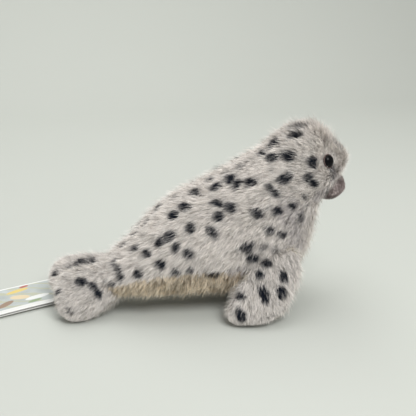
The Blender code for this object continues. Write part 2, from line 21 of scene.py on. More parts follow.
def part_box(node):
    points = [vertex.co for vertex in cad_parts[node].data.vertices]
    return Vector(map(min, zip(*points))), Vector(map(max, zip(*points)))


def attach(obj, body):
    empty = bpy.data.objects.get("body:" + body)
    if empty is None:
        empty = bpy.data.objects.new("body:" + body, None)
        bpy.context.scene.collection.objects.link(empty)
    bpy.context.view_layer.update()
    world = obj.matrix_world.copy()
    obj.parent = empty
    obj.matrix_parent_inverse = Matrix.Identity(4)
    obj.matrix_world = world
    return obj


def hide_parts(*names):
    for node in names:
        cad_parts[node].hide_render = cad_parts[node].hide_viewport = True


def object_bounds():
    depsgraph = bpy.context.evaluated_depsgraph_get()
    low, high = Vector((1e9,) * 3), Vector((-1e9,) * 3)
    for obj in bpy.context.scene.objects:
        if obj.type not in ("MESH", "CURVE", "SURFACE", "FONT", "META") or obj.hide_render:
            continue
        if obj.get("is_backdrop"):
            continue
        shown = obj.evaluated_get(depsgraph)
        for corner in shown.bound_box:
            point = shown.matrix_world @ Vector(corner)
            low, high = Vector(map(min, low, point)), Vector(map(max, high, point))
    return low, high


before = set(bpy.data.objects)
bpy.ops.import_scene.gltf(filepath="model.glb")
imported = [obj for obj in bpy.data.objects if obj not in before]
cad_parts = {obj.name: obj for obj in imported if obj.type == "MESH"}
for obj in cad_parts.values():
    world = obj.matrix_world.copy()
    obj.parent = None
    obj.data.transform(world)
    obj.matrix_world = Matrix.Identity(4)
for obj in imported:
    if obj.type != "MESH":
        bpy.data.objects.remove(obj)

LOG = logging.getLogger("plush_seal")
CAD_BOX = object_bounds()
BODY = "root"
MIDDLE = sum(corner.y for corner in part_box("body_stuffing")) / 2
SEED = 20
WELD = 2e-6
FLOOR = 0.0

Colour = tuple[float, float, float]
Points = np.ndarray


class Slot(Enum):
    """The record's material slots."""

    SPOTTED = "spotted_pile"
    BELLY = "belly_pile"
    PALE = "pale_pile"
    MUZZLE = "muzzle_pile"
    STUFFING = "stuffing"
    EYE = "eye_plastic"
    NOSE = "nose_plastic"
    WASHER = "washer_plastic"
    CARD = "tag_card"
    NYLON = "nylon"


class Lay(Enum):
    """Which way a panel's pile is combed."""

    BODY = "from the face back to the tail"
    CHEST = "down the chest"
    BELLY = "hanging"
    FACE = "outwards from the nose"
    FLIPPER = "from the root to the tip"


def unit(vectors: Points) -> Points:
    """Vectors scaled to length one."""
    return vectors / np.maximum(np.linalg.norm(vectors, axis=-1, keepdims=True), 1e-12)


def smoothstep(low: float, high: float, values: Points) -> Points:
    """A smooth rise from 0 at low to 1 at high. It falls instead where high is below low."""
    share = np.clip((values - low) / (high - low), 0, 1)
    return share * share * (3 - 2 * share)


def ripple(points: Points, size: float, seed: int) -> Points:
    """A smooth pattern that looks random.

    Args:
        points: Places, in metres.
        size: The width of one patch, in metres.
        seed: Picks the pattern.

    Returns:
        A value for each place, mostly from -1 to 1.
    """
    rng = np.random.default_rng(seed)
    waves = 7
    directions = unit(rng.normal(size=(waves, 3))) * math.pi / size * rng.uniform(0.7, 1.5, (waves, 1))
    phases = rng.uniform(0, 2 * math.pi, waves)
    return np.sin(points @ directions.T + phases).sum(axis=1) / math.sqrt(waves)


def apart(points: Points, place: Points) -> Points:
    """How far each point lies from a place."""
    return np.linalg.norm(points - place, axis=1)


def points_of(node: str) -> Points:
    """The vertices of a frame node."""
    return np.array([vertex.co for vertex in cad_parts[node].data.vertices])


def middle_of(node: str) -> Points:
    """The middle of a frame node's box."""
    return np.array(sum(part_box(node), Vector())) / 2


def in_scene(name: str, data: bpy.types.ID) -> bpy.types.Object:
    """A new object in the scene that shows some data."""
    made = bpy.data.objects.new(name, data)
    bpy.context.scene.collection.objects.link(made)
    return made


def set_inputs(node: bpy.types.Node, **values: float | tuple[float, ...]) -> None:
    """Sets a node's inputs to plain values. An underscore in a name stands for a space."""
    for name, value in values.items():
        node.inputs[name.replace("_", " ")].default_value = value


@dataclass(frozen=True)
class PhotoView:
    """The photograph's view of the toy and its pixel frame."""

    azimuth: float = -9.0
    elevation: float = 20.0
    distance: float = 0.65
    frame_width: float = 0.378
    pixels: float = 416.0
    sensor: float = 36.0
    target: tuple[float, float, float] = (0.0447, MIDDLE, 0.0910)

    def axes(self) -> tuple[Points, Points, Points]:
        """The picture's rightward and upward directions, and the one towards the camera."""
        a, e = math.radians(self.azimuth), math.radians(self.elevation)
        toward = np.array((math.sin(a) * math.cos(e), -math.cos(a) * math.cos(e), math.sin(e)))
        right = np.array((math.cos(a), math.sin(a), 0.0))
        return right, np.cross(toward, right), toward

    def ray(self, pixel: tuple[float, float]) -> tuple[Vector, Vector]:
        """The line of sight through a pixel.

        Args:
            pixel: A place in the 416 by 416 picture, from its top left corner.

        Returns:
            The camera's place and the direction of sight.
        """
        right, up, toward = self.axes()
        scale = self.frame_width / self.pixels
        across = (pixel[0] - self.pixels / 2) * scale
        rise = (self.pixels / 2 - pixel[1]) * scale
        place = np.array(self.target) + toward * self.distance
        return Vector(place), Vector(right * across + up * rise - toward * self.distance).normalized()

    def build(self) -> None:
        """Makes the scene's camera."""
        data = bpy.data.cameras.new("camera")
        data.sensor_width = self.sensor
        data.lens = self.sensor * self.distance / self.frame_width
        camera = in_scene("camera", data)
        toward = Vector(self.axes()[2])
        camera.location = Vector(self.target) + toward * self.distance
        camera.rotation_mode = "QUATERNION"
        camera.rotation_quaternion = (-toward).to_track_quat("-Z", "Y")
        bpy.context.scene.camera = camera


class Nodes:
    """A node tree being filled in, with short calls for its nodes and links."""

    def __init__(self, tree: bpy.types.NodeTree) -> None:
        """Keeps the tree."""
        self.tree = tree

    def add(self, kind: str, **values: object) -> bpy.types.Node:
        """Adds a node and sets its properties.

        Args:
            kind: The node's type, without the leading ShaderNode.
            values: Its properties by name.

        Returns:
            The node.
        """
        node = self.tree.nodes.new("ShaderNode" + kind)
        for name, value in values.items():
            setattr(node, name, value)
        return node

    def feed(self, socket: bpy.types.NodeSocket, value: object) -> None:
        """Links an output to an input socket, or sets the socket to a plain value or a colour."""
        if isinstance(value, bpy.types.NodeSocket):
            self.tree.links.new(value, socket)
        else:
            socket.default_value = (*value, 1.0) if isinstance(value, tuple) else value

    def math(self, operation: str, a: object, b: object = 0.0, clamp: bool = False) -> bpy.types.NodeSocket:
        """The result of a Math node on two values or sockets."""
        node = self.add("Math", operation=operation, use_clamp=clamp)
        self.feed(node.inputs[0], a)
        self.feed(node.inputs[1], b)
        return node.outputs[0]

    def mix(self, share: object, a: object, b: object, blend: str = "MIX") -> bpy.types.NodeSocket:
        """The colour that lies a share of the way from colour a to colour b."""
        node = self.add("Mix", data_type="RGBA", blend_type=blend)
        self.feed(node.inputs["Factor"], share)
        self.feed(node.inputs[6], a)
        self.feed(node.inputs[7], b)
        return node.outputs[2]

    def noise(self, scale: float, detail: float, coordinates: object = None) -> bpy.types.NodeSocket:
        """A noise value round one half, over the object's own coordinates unless others are given."""
        node = self.add("TexNoise")
        node.inputs["Scale"].default_value = scale
        node.inputs["Detail"].default_value = detail
        if coordinates is None:
            coordinates = self.add("TexCoord").outputs["Object"]
        self.feed(node.inputs["Vector"], coordinates)
        return node.outputs["Fac"]

    def attribute(self, name: str) -> bpy.types.NodeSocket:
        """A value that the mesh holds."""
        return self.add("Attribute", attribute_name=name).outputs["Fac"]

    def ramp(self, value: object, *stops: tuple[float, float]) -> bpy.types.NodeSocket:
        """A value read through straight lines between stops of position and result."""
        node = self.add("ValToRGB")
        elements = node.color_ramp.elements
        while len(elements) < len(stops):
            elements.new(0.5)
        for element, (position, result) in zip(elements, stops):
            element.position = position
            element.color = (result, result, result, 1.0)
        self.feed(node.inputs["Fac"], value)
        return node.outputs["Color"]


def group(name: str, inputs: dict[str, object], outputs: dict[str, str]) -> bpy.types.NodeTree:
    """Starts a shader node group.

    Args:
        name: The group's name.
        inputs: Each input's default by name. A tuple makes a colour and a number a plain value.
        outputs: Each output's kind by name, either Color or Float.

    Returns:
        The group's tree, with its input and output nodes placed.
    """
    tree = bpy.data.node_groups.new(name, "ShaderNodeTree")
    for label, default in inputs.items():
        kind = "NodeSocketColor" if isinstance(default, tuple) else "NodeSocketFloat"
        socket = tree.interface.new_socket(label, in_out="INPUT", socket_type=kind)
        socket.default_value = (*default, 1.0) if isinstance(default, tuple) else default
    for label, kind in outputs.items():
        tree.interface.new_socket(label, in_out="OUTPUT", socket_type="NodeSocket" + kind)
    tree.nodes.new("NodeGroupInput")
    tree.nodes.new("NodeGroupOutput")
    return tree


def group_ends(tree: bpy.types.NodeTree) -> tuple[bpy.types.NodeOutputs, bpy.types.NodeInputs]:
    """A group's inner sockets: what comes in, and what goes out."""
    coming = next(node for node in tree.nodes if node.bl_idname == "NodeGroupInput")
    going = next(node for node in tree.nodes if node.bl_idname == "NodeGroupOutput")
    return coming.outputs, going.inputs


def pile_colour_group() -> bpy.types.NodeTree:
    """The colour of the pile: painted shade towards the root, pale at the tip, with spots, tints (partly
    painted shade) and uneven blades.
    """
    tree = group(
        "pile_colour",
        {
            "Ground": (0.6, 0.55, 0.5), "Root": (0.2, 0.18, 0.16), "Tip": (0.8, 0.75, 0.7),
            "Spot Dye": (0.03, 0.035, 0.05), "Tint": (0.5, 0.4, 0.3), "Tip Share": 0.4, "Uneven": 0.3,
            "Spot": 0.0, "Tinted": 0.0, "Along": 0.5, "Tone": 0.5,
        },
        {"Colour": "Color"},
    )
    nodes = Nodes(tree)
    coming, going = group_ends(tree)
    # The Root colour is painted shade: each blade darkens towards its root, where the gaps between the blades
    # lie in shade.
    rise = nodes.ramp(coming["Along"], (0.0, 0.0), (0.45, 1.0))
    body = nodes.mix(rise, coming["Root"], coming["Ground"])
    tinted = nodes.mix(coming["Tinted"], body, coming["Tint"])
    far = nodes.math("POWER", coming["Along"], 2.0)
    tipped = nodes.mix(nodes.math("MULTIPLY", far, coming["Tip Share"]), tinted, coming["Tip"])
    spotted = nodes.mix(coming["Spot"], tipped, coming["Spot Dye"])
    patches = nodes.noise(160.0, 2.0)
    own_tone = nodes.math("MULTIPLY", coming["Tone"], 0.75)
    blend = nodes.math("ADD", own_tone, nodes.math("MULTIPLY", patches, 0.25))
    swing = nodes.math("MULTIPLY", nodes.math("SUBTRACT", blend, 0.5), coming["Uneven"])
    level = nodes.math("ADD", swing, 1.0)
    grey = nodes.add("CombineColor")
    for channel in ("Red", "Green", "Blue"):
        nodes.feed(grey.inputs[channel], level)
    nodes.feed(going["Colour"], nodes.mix(1.0, spotted, grey.outputs["Color"], "MULTIPLY"))
    return tree


def fine_bump_group() -> bpy.types.NodeTree:
    """A height made of two sizes of grain, for moulded plastic, felt, card and wadding."""
    tree = group(
        "fine_grain", {"Fine Scale": 900.0, "Coarse Scale": 120.0, "Coarse": 0.5}, {"Height": "Float"},
    )
    nodes = Nodes(tree)
    coming, going = group_ends(tree)
    place = nodes.add("TexCoord").outputs["Object"]
    fine = nodes.add("TexNoise")
    coarse = nodes.add("TexNoise")
    for texture, scale in ((fine, "Fine Scale"), (coarse, "Coarse Scale")):
        nodes.feed(texture.inputs["Vector"], place)
        nodes.feed(texture.inputs["Scale"], coming[scale])
    coarse_part = nodes.math("MULTIPLY", coarse.outputs["Fac"], coming["Coarse"])
    nodes.feed(going["Height"], nodes.math("ADD", fine.outputs["Fac"], coarse_part))
    return tree


class Groups:
    """The shared shader node groups, each built once."""

    def __init__(self) -> None:
        """Builds them."""
        self.pile = pile_colour_group()
        self.grain = fine_bump_group()

    def place(self, nodes: Nodes, tree: bpy.types.NodeTree, values: dict[str, object]) -> bpy.types.Node:
        """Puts a group in a material.

        Args:
            nodes: The material's nodes.
            tree: The group.
            values: Its inputs by name, as plain values, colours or sockets.

        Returns:
            The group's node.
        """
        node = nodes.add("Group")
        node.node_tree = tree
        for name, value in values.items():
            nodes.feed(node.inputs[name], value)
        return node

    def roughen(
        self, nodes: Nodes, shader: bpy.types.Node, scales: tuple[float, float], strength: float, depth: float
    ) -> None:
        """Gives a shader the fine grain as a bump.

        Args:
            nodes: The material's nodes.
            shader: Its shader.
            scales: The fine and the coarse grain's scale.
            strength: The bump's strength.
            depth: Its depth, in metres.
        """
        grain = self.place(nodes, self.grain, {"Fine Scale": scales[0], "Coarse Scale": scales[1]})
        bump = nodes.add("Bump")
        set_inputs(bump, Strength=strength, Distance=depth)
        nodes.feed(bump.inputs["Height"], grain.outputs["Height"])
        nodes.feed(shader.inputs["Normal"], bump.outputs["Normal"])


def new_material(name: str) -> tuple[bpy.types.Material, Nodes, bpy.types.Node]:
    """A new material with its nodes and its Principled shader."""
    made = bpy.data.materials.new(name)
    made.use_nodes = True
    return made, Nodes(made.node_tree), made.node_tree.nodes["Principled BSDF"]


@dataclass(frozen=True)
class PileFinish:
    """The dye and lustre of one pile fabric, for its blades and its backing. Its root colour is painted shade
    between the blades, and in the zones its tint is partly painted shade.
    """

    name: str
    ground: Colour
    # Painted shade at the foot of the blades and on the backing between them.
    root: Colour
    tip: Colour
    spot_dye: Colour
    tint: Colour
    tip_share: float = 0.5
    uneven: float = 0.95
    roughness: float = 0.7
    specular: float = 0.1
    sheen: float = 0.02
    sheen_roughness: float = 0.5

    def material(self, groups: Groups) -> bpy.types.Material:
        """Makes the fabric's material."""
        made, nodes, shader = new_material(self.name)
        colour = groups.place(nodes, groups.pile, {
            "Ground": self.ground, "Root": self.root, "Tip": self.tip, "Spot Dye": self.spot_dye,
            "Tint": self.tint, "Tip Share": self.tip_share, "Uneven": self.uneven,
            "Spot": nodes.attribute("spot"), "Tinted": nodes.attribute("tint"),
            "Along": nodes.attribute("along"), "Tone": nodes.attribute("tone"),
        })
        nodes.feed(shader.inputs["Base Color"], colour.outputs["Colour"])
        set_inputs(
            shader, Roughness=self.roughness, Specular_IOR_Level=self.specular, Sheen_Weight=self.sheen,
            Sheen_Roughness=self.sheen_roughness,
        )
        return made


@dataclass(frozen=True)
class MouldedFinish:
    """A moulded or fibrous material of one colour, with fine grain and slight cloudiness."""

    name: str
    colour: Colour
    roughness: float
    bump: float
    cloud: float = 0.06
    fine_scale: float = 900.0
    coarse_scale: float = 120.0
    sheen: float = 0.0
    specular: float = 0.5
    roughness_swing: float = 0.2
    bump_depth: float = 0.0003

    def material(self, groups: Groups) -> bpy.types.Material:
        """Makes the material."""
        made, nodes, shader = new_material(self.name)
        dark = tuple(channel * (1 - self.cloud) for channel in self.colour)
        light = tuple(min(channel * (1 + self.cloud), 1.0) for channel in self.colour)
        clouds = nodes.noise(self.coarse_scale * 0.5, 3.0)
        nodes.feed(shader.inputs["Base Color"], nodes.mix(clouds, dark, light))
        spread = nodes.math("MULTIPLY", nodes.math("SUBTRACT", clouds, 0.5), self.roughness_swing)
        nodes.feed(shader.inputs["Roughness"], nodes.math("ADD", spread, self.roughness, clamp=True))
        set_inputs(shader, Specular_IOR_Level=self.specular, Sheen_Weight=self.sheen)
        groups.roughen(nodes, shader, (self.fine_scale, self.coarse_scale), self.bump, self.bump_depth)
        return made


SLATE: Colour = (0.010, 0.014, 0.024)
# Each root colour below is painted shade between the blades. The coat's and the belly's tints darken the
# zones of speckle and painted shade.
COAT_FINISH = PileFinish(
    "spotted_coat_pile", ground=(0.780, 0.735, 0.690), root=(0.32, 0.28, 0.25), tip=(0.93, 0.90, 0.865),
    spot_dye=SLATE, tint=(0.30, 0.27, 0.29),
)
FLIPPER_FINISH = PileFinish(
    "spotted_flipper_pile", ground=(0.73, 0.69, 0.65), root=(0.27, 0.24, 0.21), tip=(0.94, 0.91, 0.88),
    spot_dye=SLATE, tint=(0.80, 0.73, 0.58),
)
PALE_FINISH = PileFinish(
    "pale_pile", ground=(0.82, 0.77, 0.71), root=(0.34, 0.29, 0.25), tip=(0.96, 0.94, 0.90),
    spot_dye=SLATE, tint=(0.60, 0.50, 0.38),
)
# The belly's ground is its tan pile darkened to the shade under the body, partly painted shade; its nearly
# black root is painted shade in the gaps between the tufts, and its brown tint is painted shade at the
# armpit.
BELLY_FINISH = PileFinish(
    "belly_pile", ground=(0.64, 0.52, 0.36), root=(0.13, 0.08, 0.04), tip=(0.93, 0.87, 0.76),
    spot_dye=SLATE, tint=(0.30, 0.19, 0.10), tip_share=0.75, uneven=1.7,
)
MUZZLE_FINISH = PileFinish(
    "muzzle_pile", ground=(0.47, 0.40, 0.39), root=(0.22, 0.17, 0.16), tip=(0.66, 0.59, 0.57),
    spot_dye=(0.02, 0.02, 0.022), tint=(0.10, 0.075, 0.045), tip_share=0.4, uneven=1.5,
)
EYE_FINISH = MouldedFinish("polished_black_bead", (0.002, 0.002, 0.0025), 0.06, 0.0, specular=0.12)
NOSE_FINISH = MouldedFinish("satin_black_nose", (0.012, 0.010, 0.010), 0.28, 0.25, fine_scale=1400.0)
EYELID_FINISH = MouldedFinish("eyelid_felt", (0.11, 0.075, 0.068), 0.9, 0.6, cloud=0.15)
WASHER_FINISH = MouldedFinish("white_washer_plastic", (0.72, 0.72, 0.70), 0.4, 0.15)
WADDING_FINISH = MouldedFinish(
    "polyester_wadding", (0.84, 0.84, 0.82), 0.9, 1.0, cloud=0.08, fine_scale=500.0, coarse_scale=60.0,
    sheen=0.3,
)
NYLON_FINISH = MouldedFinish("milky_nylon", (0.78, 0.78, 0.76), 0.3, 0.05)


@dataclass(frozen=True)
class Spot:
    """A dyed spot at a pixel of the picture. Sizes are real, in metres, and the angle is in the picture."""

    pixel: tuple[float, float]
    length: float = 0.0085
    width: float = 0.0070
    angle: float = 0.0
    strength: float = 1.0


def spots_at(*rows: tuple[float, ...]) -> tuple[Spot, ...]:
    """Spots from rows of the pixel across and down, the length, width, angle and, if not 1, strength."""
    return tuple(Spot((across, down), *rest) for across, down, *rest in rows)


HEAD_SPOTS = spots_at(
    (297.0, 127.0, 0.016, 0.009, 5, 0.55), (304.0, 124.0, 0.008, 0.006, 0, 0.35),
    (294.5, 136.0, 0.0125, 0.0060, 12), (273.5, 143.5, 0.0100, 0.0060, 65),
    (261.0, 153.0, 0.0075, 0.0060, 20, 0.8), (271.6, 157.4, 0.0090, 0.0075, 0),
    (288.8, 156.6, 0.0110, 0.0085, -15), (312.6, 162.5, 0.0095, 0.0080, 70),
    (283.5, 179.6, 0.0110, 0.0080, 20, 0.8), (288.5, 177.0, 0.0075, 0.0065, 30),
    (308.8, 178.0, 0.0075, 0.0065, -40), (313.2, 182.8, 0.0085, 0.0060, -30),
    (270.3, 188.0, 0.0075, 0.0055, -35), (275.2, 193.2, 0.0095, 0.0055, -42),
    (305.2, 197.2, 0.0065, 0.0040, -60, 0.65), (306.0, 204.5, 0.0045, 0.0035, 0, 0.45),
    (292.6, 206.4, 0.0065, 0.0055, 0, 0.95), (276.7, 211.5, 0.0085, 0.0060, -15),
    (268.6, 207.6, 0.0060, 0.0045, 0, 0.45), (300.5, 217.0, 0.0080, 0.0050, -70, 0.75),
    (311.8, 210.0, 0.0050, 0.0030, -80, 0.35), (269.8, 229.8, 0.0095, 0.0070, -30, 0.85),
    (282.0, 234.8, 0.0085, 0.0050, -20, 0.85),
)
BACK_SPOTS = spots_at(
    (239.3, 168.0, 0.0070, 0.0050, 20, 0.6), (226.5, 171.0, 0.0060, 0.0050, 20, 0.35),
    (229.7, 179.1, 0.0085, 0.0080, 0), (236.3, 184.6, 0.0080, 0.0060, 40),
    (250.5, 182.4, 0.0100, 0.0065, 10), (215.7, 187.1, 0.0085, 0.0065, 25),
    (210.2, 179.5, 0.0080, 0.0060, 30, 0.7), (195.3, 192.8, 0.0080, 0.0085, 0),
    (184.4, 206.9, 0.0105, 0.0070, -20), (172.6, 215.5, 0.0090, 0.0075, 0),
    (158.5, 207.5, 0.0080, 0.0060, 40, 0.7), (173.8, 197.0, 0.0070, 0.0050, 30, 0.4),
    (216.8, 203.5, 0.0090, 0.0065, -10), (230.0, 207.6, 0.0100, 0.0075, -40),
    (218.4, 216.1, 0.0085, 0.0085, 0), (257.1, 213.8, 0.0105, 0.0070, -15),
    (190.2, 228.9, 0.0090, 0.0068, -75), (212.2, 232.1, 0.0125, 0.0065, -52),
    (169.1, 235.9, 0.0088, 0.0075, 60), (159.9, 242.4, 0.0085, 0.0078, 60),
    (175.7, 247.6, 0.0088, 0.0060, 75, 0.8), (188.0, 253.8, 0.0085, 0.0068, -70, 0.9),
    (246.9, 247.8, 0.0120, 0.0095, 0, 0.85), (252.8, 258.2, 0.0105, 0.0085, 10, 0.9),
    (263.5, 247.6, 0.0095, 0.0045, 5, 0.55), (275.0, 249.6, 0.0075, 0.0045, -10, 0.5),
    (139.0, 227.0, 0.0080, 0.0060, 40, 0.9), (147.0, 222.5, 0.0065, 0.0050, 40, 0.6),
    (133.5, 236.5, 0.0075, 0.0060, 40, 0.7), (124.1, 244.8, 0.0075, 0.0055, 10),
    (134.9, 248.6, 0.0085, 0.0055, -5), (147.0, 254.0, 0.0080, 0.0060, -20),
    (161.0, 265.0, 0.0085, 0.0065, -40), (176.0, 272.5, 0.0075, 0.0055, -40, 0.85),
    (190.0, 270.5, 0.0065, 0.0055, -60, 0.7), (137.8, 274.3, 0.0080, 0.0070, 0),
    (212.0, 274.5, 0.0120, 0.0070, 0, 0.6),
)
FRONT_FLIPPER_SPOTS = spots_at(
    (266.4, 263.6, 0.0085, 0.0060, 0), (259.8, 275.4, 0.0065, 0.0070, 0, 0.95),
    (284.0, 277.4, 0.0090, 0.0068, -65), (281.5, 292.3, 0.0105, 0.0072, -75, 0.9),
    (263.9, 294.8, 0.0130, 0.0075, -66), (240.1, 296.2, 0.0080, 0.0055, -20, 0.9),
    (240.2, 315.5, 0.0120, 0.0070, -68, 0.85), (242.5, 277.2, 0.0070, 0.0030, 35, 0.4),
    (261.0, 319.0, 0.0040, 0.0030, 0, 0.4),
)
REAR_FLIPPER_SPOTS = spots_at(
    (79.4, 262.3, 0.0095, 0.0085, 0), (91.0, 260.8, 0.0080, 0.0080, 0, 0.8),
    (71.0, 268.2, 0.0095, 0.0070, 12, 1.0), (54.9, 273.3, 0.0065, 0.0055, 50, 0.8),
    (58.6, 293.0, 0.0065, 0.0045, 60, 0.65), (82.0, 282.3, 0.0095, 0.0062, -15),
    (91.5, 286.0, 0.0085, 0.0055, -40), (97.3, 292.6, 0.0105, 0.0058, -60),
    (114.3, 263.0, 0.0080, 0.0055, -65, 0.9), (117.5, 269.5, 0.0080, 0.0050, -65, 0.9),
    (120.8, 276.8, 0.0085, 0.0058, -60), (112.2, 284.0, 0.0075, 0.0055, 15),
    (105.6, 280.3, 0.0050, 0.0035, 0, 0.5), (69.2, 311.0, 0.0080, 0.0045, -50, 0.5),
)
FACE_SMUDGES = spots_at(
    (333.2, 170.0, 0.0085, 0.0055, -60, 0.52), (333.2, 175.5, 0.0075, 0.0065, 90, 0.46),
    (336.5, 144.5, 0.0125, 0.0055, -50, 0.70), (326.0, 193.0, 0.0060, 0.0040, 60, 0.45),
)
# Zones of darker blades: the two at the neck are darker speckled fur and painted shade under the head, the
# two by the muzzle are painted shade on the cheek, and the last is painted shade at the armpit.
SPECKLE_AND_SHADE_ZONES = spots_at(
    (290.0, 216.0, 0.034, 0.020, -60, 0.50), (294.0, 238.0, 0.034, 0.016, -75, 0.50),
    (321.0, 196.0, 0.016, 0.010, 40, 0.60), (333.0, 181.0, 0.022, 0.009, 50, 0.40),
    (236.0, 276.0, 0.020, 0.012, 20, 0.80),
)


@dataclass
class Markings:
    """Where the spots, or the zones of speckle and painted shade, lie on the toy, as centres with axes and
    radii on the surface.
    """

    view: PhotoView
    nodes: tuple[str, ...]
    mirror_clearance: float = 0.010
    bleed: float = 1.22
    aim: tuple[float, float] = (205.0, 240.0)
    furthest: float = 0.2
    depth: float = 0.008
    stray: float = 0.004
    centres: list = field(default_factory=list)

    def __post_init__(self) -> None:
        """Prepares the surface that the lines of sight meet."""
        self.tree = tree_of([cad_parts[name].data for name in self.nodes])

    def place(self, spot: Spot) -> tuple[Vector, Vector]:
        """The surface point and normal at a spot's pixel, or at the nearest one inwards that has any."""
        x, y = spot.pixel
        steps = 12
        for step in range(steps):
            share = step / steps * self.furthest
            pixel = (x + (self.aim[0] - x) * share, y + (self.aim[1] - y) * share)
            origin, sight = self.view.ray(pixel)
            point, normal, _, _ = self.tree.ray_cast(origin, sight)
            if point is not None:
                return point, normal
        raise ValueError(f"no surface lies at {spot.pixel}")

    def add(self, spots: tuple[Spot, ...], mirrored: bool, seed: int) -> None:
        """Places spots, and copies of them on the other side.

        Args:
            spots: The spots, as the picture shows them.
            mirrored: Whether the unseen side gets them too, a little out of place.
            seed: Picks how far each copy strays.
        """
        rng = np.random.default_rng(seed)
        right, up, _ = self.view.axes()
        for spot in spots:
            point, normal = self.place(spot)
            turn = math.radians(spot.angle)
            along = np.array(right) * math.cos(turn) + np.array(up) * math.sin(turn)
            outward = np.array(normal)
            along = unit(along - outward * (along @ outward))
            across = np.cross(outward, along)
            self.keep(np.array(point), along, across, outward, spot)
            if mirrored and abs(point.y - MIDDLE) > self.mirror_clearance:
                flip = np.array((1.0, -1.0, 1.0))
                shift = rng.uniform(-1, 1, 3) * self.stray * np.array((1.5, 0.3, 1.0))
                shift[1] += 2 * MIDDLE
                self.keep(np.array(point) * flip + shift, along * flip, across * flip, outward * flip, spot)

    def keep(self, centre: Points, along: Points, across: Points, outward: Points, spot: Spot) -> None:
        """Stores a placed spot."""
        self.centres.append((centre, along, across, outward, spot))

    def strength(self, points: Points, soft: float) -> Points:
        """How much dye lies at each point, or in the zones how much speckle and painted shade.

        Args:
            points: Places on the pile.
            soft: How much of each spot's radius its edge takes up.

        Returns:
            A share from 0 to 1 for each point.
        """
        dye = np.zeros(len(points))
        wobble = 0.14 * ripple(points, 0.0022, 5) + 0.10 * ripple(points, 0.0045, 6)
        for centre, along, across, outward, spot in self.centres:
            offset = points - centre
            near = np.nonzero(np.einsum("ij,ij->i", offset, offset) < (spot.length + self.depth) ** 2)[0]
            offset = offset[near]
            reach = np.sqrt(
                (offset @ along / (spot.length / 2 * self.bleed)) ** 2
                + (offset @ across / (spot.width / 2 * self.bleed)) ** 2
                + (offset @ outward / self.depth) ** 2
            )
            mask = smoothstep(1 + soft, 1 - soft, reach + wobble[near])
            dye[near] = np.maximum(dye[near], mask * spot.strength)
        return dye


def tree_of(meshes: list[bpy.types.Mesh]) -> BVHTree:
    """One search tree over several meshes that lie in the frame."""
    points: list = []
    faces: list = []
    for mesh in meshes:
        first = len(points)
        points += [vertex.co.copy() for vertex in mesh.vertices]
        faces += [[first + index for index in polygon.vertices] for polygon in mesh.polygons]
    return BVHTree.FromPolygons(points, faces)


def link(name: str, mesh: bpy.types.Mesh, material: bpy.types.Material) -> bpy.types.Object:
    """Puts a mesh in the scene as a piece of the toy.

    Args:
        name: The piece's name.
        mesh: Its mesh, in the frame.
        material: Its material.

    Returns:
        The piece, which rides on the toy's one body.
    """
    piece = in_scene(name, mesh)
    mesh.materials.clear()
    mesh.materials.append(material)
    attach(piece, BODY)
    LOG.info("%s: %d faces", name, len(mesh.polygons))
    return piece


def applied(piece: bpy.types.Object, name: str) -> bpy.types.Mesh:
    """The mesh that an object's modifiers give. The object itself is removed."""
    bpy.context.view_layer.update()
    graph = bpy.context.evaluated_depsgraph_get()
    mesh = bpy.data.meshes.new_from_object(piece.evaluated_get(graph))
    mesh.name = name
    bpy.data.objects.remove(piece)
    return mesh


def smoothed(node: str, levels: int) -> bpy.types.Mesh:
    """A finer copy of a frame node's mesh, round where it is round and sharp where it is sharp.

    Args:
        node: The node's name.
        levels: How many times each face is divided.

    Returns:
        The finer mesh.
    """
    flat_enough, square_enough, sharp = (math.radians(angle) for angle in (28, 70, 48))
    shape = bmesh.new()
    shape.from_mesh(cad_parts[node].data)
    bmesh.ops.remove_doubles(shape, verts=shape.verts, dist=WELD)
    bmesh.ops.join_triangles(
        shape, faces=shape.faces, angle_face_threshold=flat_enough, angle_shape_threshold=square_enough,
    )
    crease = shape.edges.layers.float.new("crease_edge")
    for edge in shape.edges:
        if len(edge.link_faces) == 2 and edge.calc_face_angle() > sharp:
            edge[crease] = 1.0
    mesh = bpy.data.meshes.new(node)
    shape.to_mesh(mesh)
    shape.free()
    holder = in_scene(node + "_copy", mesh)
    subdivision = holder.modifiers.new("finer", "SUBSURF")
    subdivision.levels = subdivision.render_levels = levels
    return applied(holder, node + "_fine")


@dataclass
class MuzzleForm:
    """The muzzle's softer look: higher and wider than the frame's, its underside flatter and set back."""

    lift: float = 0.0036
    set_back: float = 0.0070
    flatter: float = 0.14
    forward: float = 0.0015
    wider: float = 0.06

    def __post_init__(self) -> None:
        """Finds the muzzle in the frame."""
        low, high = (np.array(corner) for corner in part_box("muzzle_stuffing"))
        self.centre, self.half = (low + high) / 2, (high - low) / 2

    def moved(self, points: Points) -> Points:
        """Where the muzzle's points go."""
        lower = np.clip((self.centre[2] - points[:, 2]) / self.half[2], 0, 1.2)
        made = points.copy()
        upper = np.clip((points[:, 2] - self.centre[2]) / self.half[2], 0, 1)
        made[:, 0] += self.forward * upper - self.set_back * lower
        made[:, 1] += self.wider * (points[:, 1] - self.centre[1])
        made[:, 2] += self.lift + self.flatter * self.half[2] * lower**2
        return made

    def unmoved(self, points: Points) -> Points:
        """About where moved points came from."""
        return 2 * points - self.moved(points)


MUZZLE_FORM = MuzzleForm()


